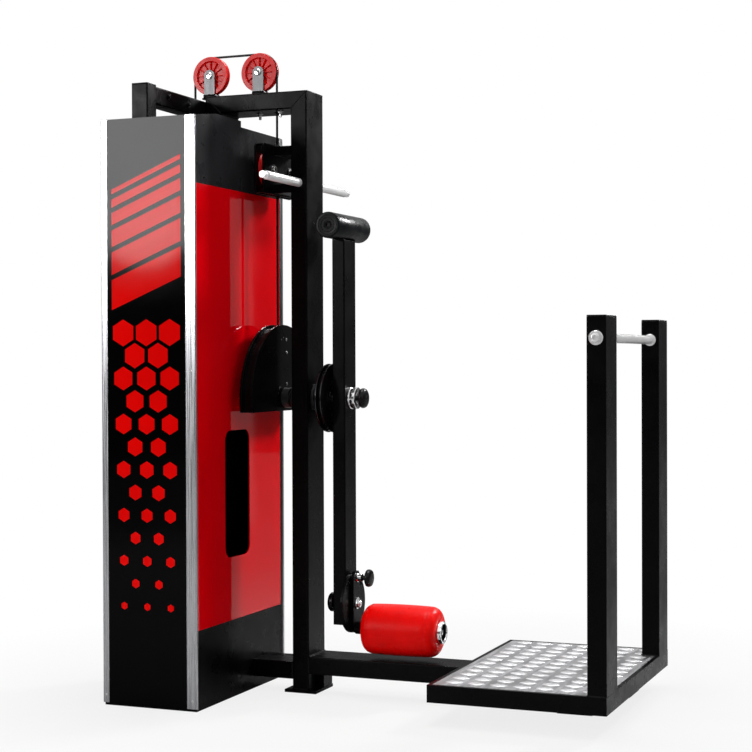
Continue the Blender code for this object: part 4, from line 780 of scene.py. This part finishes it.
# Pull knob: a phenolic mushroom knob on the sprung locking stem of the arm.
phenolic = moulded("phenolic", (0.003, 0.003, 0.0035), 0.26, 700.0, 0.00012)
turned("arm_pull_knob", [
    (0, 0.1843), (0.009, 0.1843), (0.009, 0.1915), (0.0120, 0.1938), (0.0270, 0.1945),
    (0.0322, 0.1968), (0.0340, 0.2010), (0.0336, 0.2060), (0.0312, 0.2110), (0.0260, 0.2144),
    (0.0180, 0.2157), (0.0085, 0.2160), (0.0070, 0.2150), (0, 0.2150)],
    "X", HUB, 56, phenolic, "arm_knob", "black_plastic", "pull_knob")

# Arm: a flat black tube with rounded edges, closed below by a nylon plug. The
# round counterweight across its top is turned steel, its faces left with the
# rings of the tool and a centre hole.
bm = bmesh.new()
add_block(bm, (0.1136, -0.0494, 0.2362), (0.1584, 0.0494, 0.2398), 0.0014, 3)
add_block(bm, (0.1168, -0.0462, 0.2390), (0.1552, 0.0462, 0.2560), 0.0008)
settle("arm_plug", bm, black_nylon, "arm", "black_plastic")

weight_coat, tree, shader = surface("weight_coat", (0.005, 0.006, 0.007), 0.30, specular=0.08)
tint(tree, shader, cloud(tree, 18.0), (0.003, 0.0035, 0.004), (0.006, 0.0068, 0.0075))
vary_roughness(tree, shader, cloud(tree, 30.0), 0.24, 0.38)
raise_by(tree, shader, cloud(tree, 260.0, 2.0), 0.00025, 0.3)
ARM_X = 0.136                  # the middle of the arm's tube
WEIGHT_HALF, CENTRE_HOLE = 0.138, 0.0075
rings = (
    (0, CENTRE_HOLE), (0.0060, CENTRE_HOLE), (0.0070, 0.0030), (0.0130, 0.0014),
    (0.0138, 0.0026), (0.0150, 0.0026), (0.0158, 0.0012), (0.0222, 0.0012), (0.0230, 0.0024),
    (0.0242, 0.0024), (0.0250, 0.0008), (0.0312, 0.0006), (0.0320, 0.0018), (0.0332, 0.0018),
    (0.0340, 0.0002), (0.0405, 0.0000), (0.0428, 0.0008), (0.0440, 0.0030))
end_face = [(radius, WEIGHT_HALF - depth) for radius, depth in rings]
turned(
    "round_weight", [(r, -a) for r, a in end_face] + end_face[::-1], "Y", (ARM_X, 0, 1.5843), 96,
    weight_coat, "arm", "black_paint", "counterweight")
bm = bmesh.new()
for y in (-0.0496, 0.0496):
    weld(bm, (ARM_X - 0.0205, y, 1.5425), (ARM_X + 0.0205, y, 1.5425), 0.002, 0.0028)
settle("arm_head_welds", bm, weld_coat, "arm", "black_paint")

# Roller bracket at the foot of the arm: an index disc with a ring of holes, a
# flat bracket with cut corners, and a chromed plunger that locks the two.
dress(cam_coat, "lower_disc", "roller_bracket")
FOOT_PIVOT = (0, 0, 0.306)
BOLT_END_X = 0.1813
turned("lower_bolt_cap", [
    (0, 0.0810), (0.0200, 0.0812), (0.0285, 0.0828), (0.0322, 0.0865), (0.0330, 0.0905),
    (0.0330, 0.1000), (0.0318, 0.1010), (0.018, 0.1010), (0.018, 0.1127), (0.012, 0.1127),
    (0.012, BOLT_END_X), (0, BOLT_END_X)],
    "X", FOOT_PIVOT, 64, phenolic, "arm", "black_plastic", "lower_pivot_bolt")
bm = bmesh.new()
add_hex_bolt(bm, "X", (BOLT_END_X, 0, FOOT_PIVOT[2]), 0.0165, 0.0088, 1, 1.2)
add_spun(
    bm, [(0, 0.1923), (0.0085, 0.1923), (0.0085, 0.1942), (0.0070, 0.1955), (0, 0.1955)], "X",
    FOOT_PIVOT, 32)
settle("lower_nut", bm, chrome, "arm", "chrome")

LATCH = (0, 0, 0.393)
turned("plunger_sleeve", [
    (0.0084, 0.1804), (0.0150, 0.1804), (0.0150, 0.1850), (0.0132, 0.1866), (0.0132, 0.1990),
    (0.0120, 0.2003), (0.0084, 0.2003)], "X", LATCH, 48, chrome, "roller_carrier", "chrome")
turned("plunger_knob", [
    (0, 0.1703), (0.0072, 0.1703), (0.0080, 0.1711), (0.0080, 0.2120), (0.0110, 0.2150),
    (0.0240, 0.2160), (0.0286, 0.2185), (0.0300, 0.2230), (0.0294, 0.2280), (0.0268, 0.2326),
    (0.0215, 0.2350), (0.0120, 0.2360), (0, 0.2360)],
    "X", LATCH, 56, phenolic, "roller_plunger", "black_plastic", "plunger")

# Padded roller: firm foam on a core, under a shiny red vinyl skin that is sewn
# round both ends and drawn tight, so its ends are rounded and its middle crowned.
vinyl, tree, shader = surface("red_vinyl", (0.80, 0.010, 0.006), 0.30, specular=0.09)
tint(tree, shader, cloud(tree, 9.0), (0.74, 0.0010, 0.0006), (0.88, 0.0022, 0.0012))
vary_roughness(tree, shader, cloud(tree, 22.0), 0.24, 0.36)
place = tree.nodes.new("ShaderNodeTexCoord")
cells = tree.nodes.new("ShaderNodeTexVoronoi")
cells.feature = "DISTANCE_TO_EDGE"
cells.inputs["Scale"].default_value = 620.0
tree.links.new(place.outputs["Object"], cells.inputs["Vector"])
creases = ranged(tree, cells.outputs["Distance"], 0.0, 1.0, 0.0, 0.12)
grain = raise_by(tree, shader, creases, 0.00018, 0.35)
raise_by(tree, shader, cloud(tree, 26.0, 2.0), 0.0012, 0.35, grain)

ROLLER_Z = 0.223
ROLLER = (0, 0, ROLLER_Z)
ROLLER_X0, ROLLER_X1 = 0.215, 0.480
CORE_R = 0.0132
SKIN_R, CROWN = 0.0838, 0.0021
SEAM_IN, SKIN_IN = 0.0272, 0.0284         # from each end: the seam, and the skin's straight part
PUCKERS, PUCKER_DEPTH = 34, 0.00028
PUCKER_IN, PUCKER_REACH = 0.018, 0.014
DENT_DEPTH = 0.00035
profile = [(CORE_R, ROLLER_X0 + 0.004), (0.030, ROLLER_X0 + 0.0015), (0.048, ROLLER_X0 + 0.0004)]
rounding = [
    (0.0560, 0.0008), (0.0640, 0.0026), (0.0708, 0.0060), (0.0762, 0.0108), (0.0802, 0.0168),
    (0.0827, 0.0232), (0.0835, 0.0262), (0.0832, SEAM_IN), (SKIN_R, SKIN_IN)]
profile += [(r, ROLLER_X0 + a) for r, a in rounding]
for step in range(1, 16):
    share = step / 16
    along = ROLLER_X0 + SKIN_IN + (ROLLER_X1 - ROLLER_X0 - 2 * SKIN_IN) * share
    profile.append((SKIN_R + CROWN * math.sin(math.pi * share) ** 0.7, along))
profile += [(r, ROLLER_X1 - a) for r, a in reversed(rounding)]
profile += [
    (0.048, ROLLER_X1 - 0.0004), (0.0405, ROLLER_X1 - 0.0015), (0.0392, ROLLER_X1 - 0.0070),
    (CORE_R, ROLLER_X1 - 0.0072)]
bm = bmesh.new()
add_spun(bm, profile, "X", ROLLER, 160)
for vert in bm.verts:
    reach = math.hypot(vert.co.y, vert.co.z - ROLLER_Z)
    if reach > 0.055:
        angle = math.atan2(vert.co.z - ROLLER_Z, vert.co.y)
        near_end = min(vert.co.x - ROLLER_X0, ROLLER_X1 - vert.co.x)
        pucker = math.exp(-((near_end - PUCKER_IN) / PUCKER_REACH) ** 2)
        wave = PUCKER_DEPTH * pucker * math.sin(PUCKERS * angle)
        wave += DENT_DEPTH * math.sin(3 * angle + 9 * vert.co.x)
        scale = (reach + wave) / reach
        vert.co.y *= scale
        vert.co.z = ROLLER_Z + (vert.co.z - ROLLER_Z) * scale
roller = settle("padded_roller", bm, vinyl, "roller", "red_vinyl", "roller", smooth=60)

thread, tree, shader = surface("red_thread", (0.50, 0.006, 0.006), 0.55)
tint(tree, shader, cloud(tree, 400.0), (0.36, 0.004, 0.004), (0.55, 0.010, 0.008))
raise_by(tree, shader, cloud(tree, 1500.0, 1.0), 0.0003, 0.5)
STITCHES, STITCH_R = 96, 0.0834
bm = bmesh.new()
for x in (ROLLER_X0 + SEAM_IN, ROLLER_X1 - SEAM_IN):
    for k in range(STITCHES):
        spin = Matrix.Rotation(math.tau * k / STITCHES, 4, "X")
        turn = Matrix.Translation((x, 0, ROLLER_Z)) @ spin
        add_dome(bm, turn @ Matrix.Translation((0, 0, STITCH_R)), (0.0005, 0.0017, 0.0006), 6, 4)
settle("roller_stitches", bm, thread, "roller", "red_vinyl", smooth=80)

# Roller end cap: a chromed cup pressed into the core. Inside it the end of the
# shaft shows with its bolt, in shade.
CUP_FLOOR_X = 0.4812
turned("roller_cup", [
    (0, 0.4742), (0.0380, 0.4742), (0.0380, 0.4872), (0.0372, 0.4918), (0.0352, 0.4944),
    (0.0325, 0.4950), (0.0300, 0.4940), (0.0288, 0.4915), (0.0282, 0.4800), (0, 0.4800)],
    "X", ROLLER, 72, chrome, "roller", "chrome", "roller_cap")
turned("cup_floor", [
    (0, 0.4801), (0.0280, 0.4801), (0.0284, 0.4912), (0.0274, 0.4912), (0.0270, CUP_FLOOR_X),
    (0, CUP_FLOOR_X)], "X", ROLLER, 48, black_nylon, "roller", "black_plastic")
bm = bmesh.new()
add_hex_bolt(bm, "X", (CUP_FLOOR_X, 0, ROLLER_Z), 0.0085, 0.0060, 1, 1.5)
settle("cup_bolt", bm, zinc, "roller", "chrome")

# Platform: a welded frame of black rails with a bright aluminium tread sheet in it.
# The sheet is pressed with rows of long raised lugs against slipping.
dress(black_coat, "platform_frame")
tread, tree, shader = surface("tread_aluminium", (0.60, 0.60, 0.61), 0.38, 1.0)
roll_marks = cloud(tree, 180.0, 3.0, (1.0, 0.05, 1.0))
tint(tree, shader, roll_marks, (0.32, 0.32, 0.33), (0.44, 0.44, 0.45))
vary_roughness(tree, shader, roll_marks, 0.34, 0.50)
raise_by(tree, shader, roll_marks, 0.0002, 0.4)
dress(tread, "tread_plate")

# The lugs get a paler, more diffuse aluminium than the sheet they are pressed from: painted
# highlight for the light their raised tops catch.
lug_painted_highlight, tree, shader = surface("lug_aluminium_painted_highlight", (0.66, 0.66, 0.66), 0.45, 0.6)
tint(tree, shader, cloud(tree, 90.0), (0.56, 0.56, 0.57), (0.70, 0.70, 0.71))
vary_roughness(tree, shader, cloud(tree, 200.0), 0.38, 0.54)
raise_by(tree, shader, cloud(tree, 600.0, 2.0), 0.0002, 0.4)
TREAD_TOP = 0.125
LUG_CUT_Y0, LUG_CUT_Y1 = -0.3655, 0.4855    # just inside the sheet's front and rear edges
LUG_X, LUG_Y = 0.636, -0.310                # the first lug of the first full row
LUG_STEP_X, LUG_STEP_Y = 0.0736, 0.0696
LUG_HALF = (0.0290, 0.0190, 0.0028)
LUG_TAPER = 0.45
bm = bmesh.new()
for column in range(7):
    for row in range(-1, 12):
        place = (LUG_X + LUG_STEP_X * column, LUG_Y + LUG_STEP_Y * row, TREAD_TOP)
        add_dome(bm, Matrix.Translation(place), LUG_HALF)
for vert in bm.verts:
    column = round((vert.co.x - LUG_X) / LUG_STEP_X)
    row = round((vert.co.y - LUG_Y) / LUG_STEP_Y)
    middle_y = LUG_Y + LUG_STEP_Y * row
    along = abs(vert.co.x - LUG_X - LUG_STEP_X * column) / LUG_HALF[0]
    vert.co.y = middle_y + (vert.co.y - middle_y) * (1.0 - LUG_TAPER * min(1.0, along) ** 2)
for point, normal in (
        ((0, 0, TREAD_TOP - 0.0002), (0, 0, -1)), ((0, LUG_CUT_Y0, 0), (0, -1, 0)),
        ((0, LUG_CUT_Y1, 0), (0, 1, 0))):
    done = bmesh.ops.bisect_plane(
        bm, geom=bm.verts[:] + bm.edges[:] + bm.faces[:], plane_co=point, plane_no=normal,
        clear_outer=True)
    rim = [item for item in done["geom_cut"] if isinstance(item, bmesh.types.BMEdge)]
    bmesh.ops.edgeloop_fill(bm, edges=rim)
settle("tread_lugs", bm, lug_painted_highlight, "frame", "tread_aluminium", smooth=50)

RIM_TOP = 0.1262
bm = bmesh.new()
for post_y in PLATFORM_POST_YS:
    for side in (-1, 1):
        y = post_y + side * (HALF_DEPTH - 0.0006)
        reach = HALF_TUBE - WELD_END
        weld(
            bm, (PLATFORM_POST_X - reach, y, RIM_TOP), (PLATFORM_POST_X + reach, y, RIM_TOP),
            0.002, 0.0028)
    x = PLATFORM_POST_X - HALF_TUBE - 0.0005
    reach = HALF_DEPTH - WELD_END
    weld(bm, (x, post_y - reach, RIM_TOP), (x, post_y + reach, RIM_TOP), 0.002, 0.0028)
settle("platform_welds", bm, weld_coat, "frame", "black_paint")

# Hand bar between the platform posts: a chromed tube held at each end by a bolt
# through the post, with a round washer under its head.
BAR = (PLATFORM_POST_X, 0, 1.198)
turned("hand_bar", [
    (0, -0.2397), (0.0200, -0.2397), (0.0200, -0.2370), (0.0190, -0.2360), (0.0145, -0.2358),
    (0.0145, 0.3558), (0.0190, 0.3560), (0.0200, 0.3570), (0.0200, 0.3597), (0, 0.3597)],
    "Y", BAR, 64, bar_chrome_painted_reflection, "frame", "chrome", "handle_bar")
turned("bar_bolt", [
    (0, -0.3803), (0.0218, -0.3803), (0.0220, -0.3806), (0.0220, -0.3838), (0.0206, -0.3852),
    (0.0140, -0.3854), (0.0140, -0.3950), (0.0128, -0.3985), (0.0095, -0.4003),
    (0.0060, -0.4003), (0.0058, -0.3960), (0, -0.3960)],
    "Y", BAR, 56, bar_chrome_painted_reflection, "frame", "chrome", "handle_bolt")
bm = bmesh.new()
add_hex_bolt(bm, "Y", (PLATFORM_POST_X, 0.5002, BAR[2]), 0.0120, 0.0080, 1, 1.6)
settle("bar_rear_bolt", bm, zinc, "frame", "chrome")

# Studio: a plain pale floor, a white background, and soft lamps at a plain level.
# The floor is white far off and keeps the machine's shadow close by.
world = bpy.data.worlds.new("studio")
bpy.context.scene.world = world
world.use_nodes = True
tree = world.node_tree
tree.nodes.clear()
place = tree.nodes.new("ShaderNodeTexCoord")
paths = tree.nodes.new("ShaderNodeLightPath")


def math_node(tree, kind, first, second):
    """Arithmetic in a shader tree; each side is a number or an output."""
    node = tree.nodes.new("ShaderNodeMath")
    node.operation = kind
    for socket, value in zip(node.inputs, (first, second)):
        if isinstance(value, float):
            socket.default_value = value
        else:
            tree.links.new(value, socket)
    return node.outputs["Value"]


def blend_value(tree, share, first, second):
    """A mix of two values; each is a number or an output."""
    node = tree.nodes.new("ShaderNodeMix")
    tree.links.new(share, node.inputs[0])
    for socket, value in ((node.inputs[2], first), (node.inputs[3], second)):
        if isinstance(value, float):
            socket.default_value = value
        else:
            tree.links.new(value, socket)
    return node.outputs[0]


def straight_seen(tree, paths):
    """1 for a ray of the camera or one that came through clear material."""
    return math_node(
        tree, "MAXIMUM", paths.outputs["Is Camera Ray"], paths.outputs["Is Transmission Ray"])


# What glossy faces mirror: a bright ceiling and two bright walls, left and right.
# Diffuse light comes from a plain sky at SKY.
SKY = 0.42
DARK_WALL, BRIGHT_WALL = 0.05, 0.9
split = tree.nodes.new("ShaderNodeSeparateXYZ")
tree.links.new(place.outputs["Generated"], split.inputs["Vector"])
in_gloss = ranged(tree, split.outputs["Z"], 0.0, 1.0, 0.18, 0.42)
for aim in ((-0.94, 0.34, 0.0), (0.94, -0.34, 0.0)):
    toward = tree.nodes.new("ShaderNodeVectorMath")
    toward.operation = "DOT_PRODUCT"
    toward.inputs[1].default_value = aim
    tree.links.new(place.outputs["Generated"], toward.inputs[0])
    wall = ranged(tree, toward.outputs["Value"], DARK_WALL, BRIGHT_WALL, 0.82, 0.95)
    in_gloss = math_node(tree, "MAXIMUM", in_gloss, wall)
seen = straight_seen(tree, paths)
level = blend_value(tree, paths.outputs["Is Glossy Ray"], SKY, in_gloss)
level = blend_value(tree, seen, level, 1.0)
background = tree.nodes.new("ShaderNodeBackground")
background.inputs["Strength"].default_value = 1.0
tree.links.new(level, background.inputs["Color"])
out = tree.nodes.new("ShaderNodeOutputWorld")
tree.links.new(background.outputs["Background"], out.inputs["Surface"])

FLOOR_R = 14.0
bm = bmesh.new()
bmesh.ops.create_circle(bm, cap_ends=True, segments=96, radius=FLOOR_R)
mesh = bpy.data.meshes.new("floor")
bm.to_mesh(mesh)
bm.free()
floor = bpy.data.objects.new("floor", mesh)
floor.location = (0.3, 0.05, -0.0005)
bpy.context.scene.collection.objects.link(floor)
floor_paint, tree, shader = surface("floor_paint", (0.86, 0.86, 0.86), 0.75, specular=0.1)
tint(tree, shader, cloud(tree, 3.0, 5.0), (0.46, 0.46, 0.46), (0.49, 0.49, 0.49))
paths = tree.nodes.new("ShaderNodeLightPath")
place = tree.nodes.new("ShaderNodeTexCoord")
away = tree.nodes.new("ShaderNodeVectorMath")
away.operation = "LENGTH"
tree.links.new(place.outputs["Object"], away.inputs[0])
far = ranged(tree, away.outputs["Value"], 0.82, 1.0, 0.9, 2.0)
seen = straight_seen(tree, paths)
glow = tree.nodes.new("ShaderNodeEmission")
glow.inputs["Color"].default_value = (1.0, 1.0, 1.0, 1.0)
mixer = tree.nodes.new("ShaderNodeMixShader")
tree.links.new(math_node(tree, "MULTIPLY", far, seen), mixer.inputs["Fac"])
tree.links.new(shader.outputs["BSDF"], mixer.inputs[1])
tree.links.new(glow.outputs["Emission"], mixer.inputs[2])
tree.links.new(mixer.outputs["Shader"], tree.nodes["Material Output"].inputs["Surface"])
mesh.materials.append(floor_paint)


def soft_lamp(name, place, target, width, height, power, spread=180, shape="RECTANGLE"):
    """An area lamp at a place, aimed at a target; metres, watts and degrees."""
    lamp = bpy.data.lights.new(name, "AREA")
    lamp.shape = shape
    lamp.size = width
    lamp.size_y = height
    lamp.energy = power
    lamp.spread = math.radians(spread)
    holder = bpy.data.objects.new(name, lamp)
    holder.location = place
    aim = Vector(target) - Vector(place)
    holder.rotation_euler = aim.to_track_quat("-Z", "Y").to_euler()
    bpy.context.scene.collection.objects.link(holder)


soft_lamp(
    "front_left_box", (-3.02, -5.1, 2.42), (0.0, 0.0, 1.2), 0.95, 1.35, 100.0, shape="ELLIPSE")
soft_lamp("right_box", (4.6, -3.0, 3.4), (0.3, 0.0, 0.8), 2.0, 2.0, 25.0)
soft_lamp("back_right_box", (3.0, 4.9, 4.4), (-0.2, 0.0, 1.0), 0.8, 1.4, 40.0, 50)
soft_lamp("strip_box", (2.40, 4.9, 1.5), (-0.2, 0.0, 1.2), 0.28, 3.0, 0.85)
soft_lamp("top_box", (0.4, 0.4, 5.0), (0.3, 0.1, 0.0), 2.0, 2.0, 150.0)

# Camera: solved from the photograph's straight edges and floor contacts.
CAMERA_PLACE = (2.3205, -5.1698, 1.1376)
CAMERA_LENS = 78.78
YAW, PITCH, ROLL = (math.radians(angle) for angle in (21.8, -0.6, 0.2))
camera_data = bpy.data.cameras.new("camera")
camera_data.sensor_width = 36.0
camera_data.lens = CAMERA_LENS
camera_data.clip_start = 0.1
camera_data.clip_end = 200.0
camera = bpy.data.objects.new("camera", camera_data)
level_out = math.cos(PITCH)
forward = Vector((-math.sin(YAW) * level_out, math.cos(YAW) * level_out, math.sin(PITCH)))
right = Vector((math.cos(YAW), math.sin(YAW), 0.0))
down = forward.cross(right)
right, down = (
    right * math.cos(ROLL) + down * math.sin(ROLL), down * math.cos(ROLL) - right * math.sin(ROLL))
turn = Matrix((right, -down, -forward)).transposed()
camera.rotation_mode = "QUATERNION"
camera.rotation_quaternion = turn.to_quaternion()
camera.location = CAMERA_PLACE
bpy.context.scene.collection.objects.link(camera)
bpy.context.scene.camera = camera
bpy.context.scene.view_settings.view_transform = "Standard"
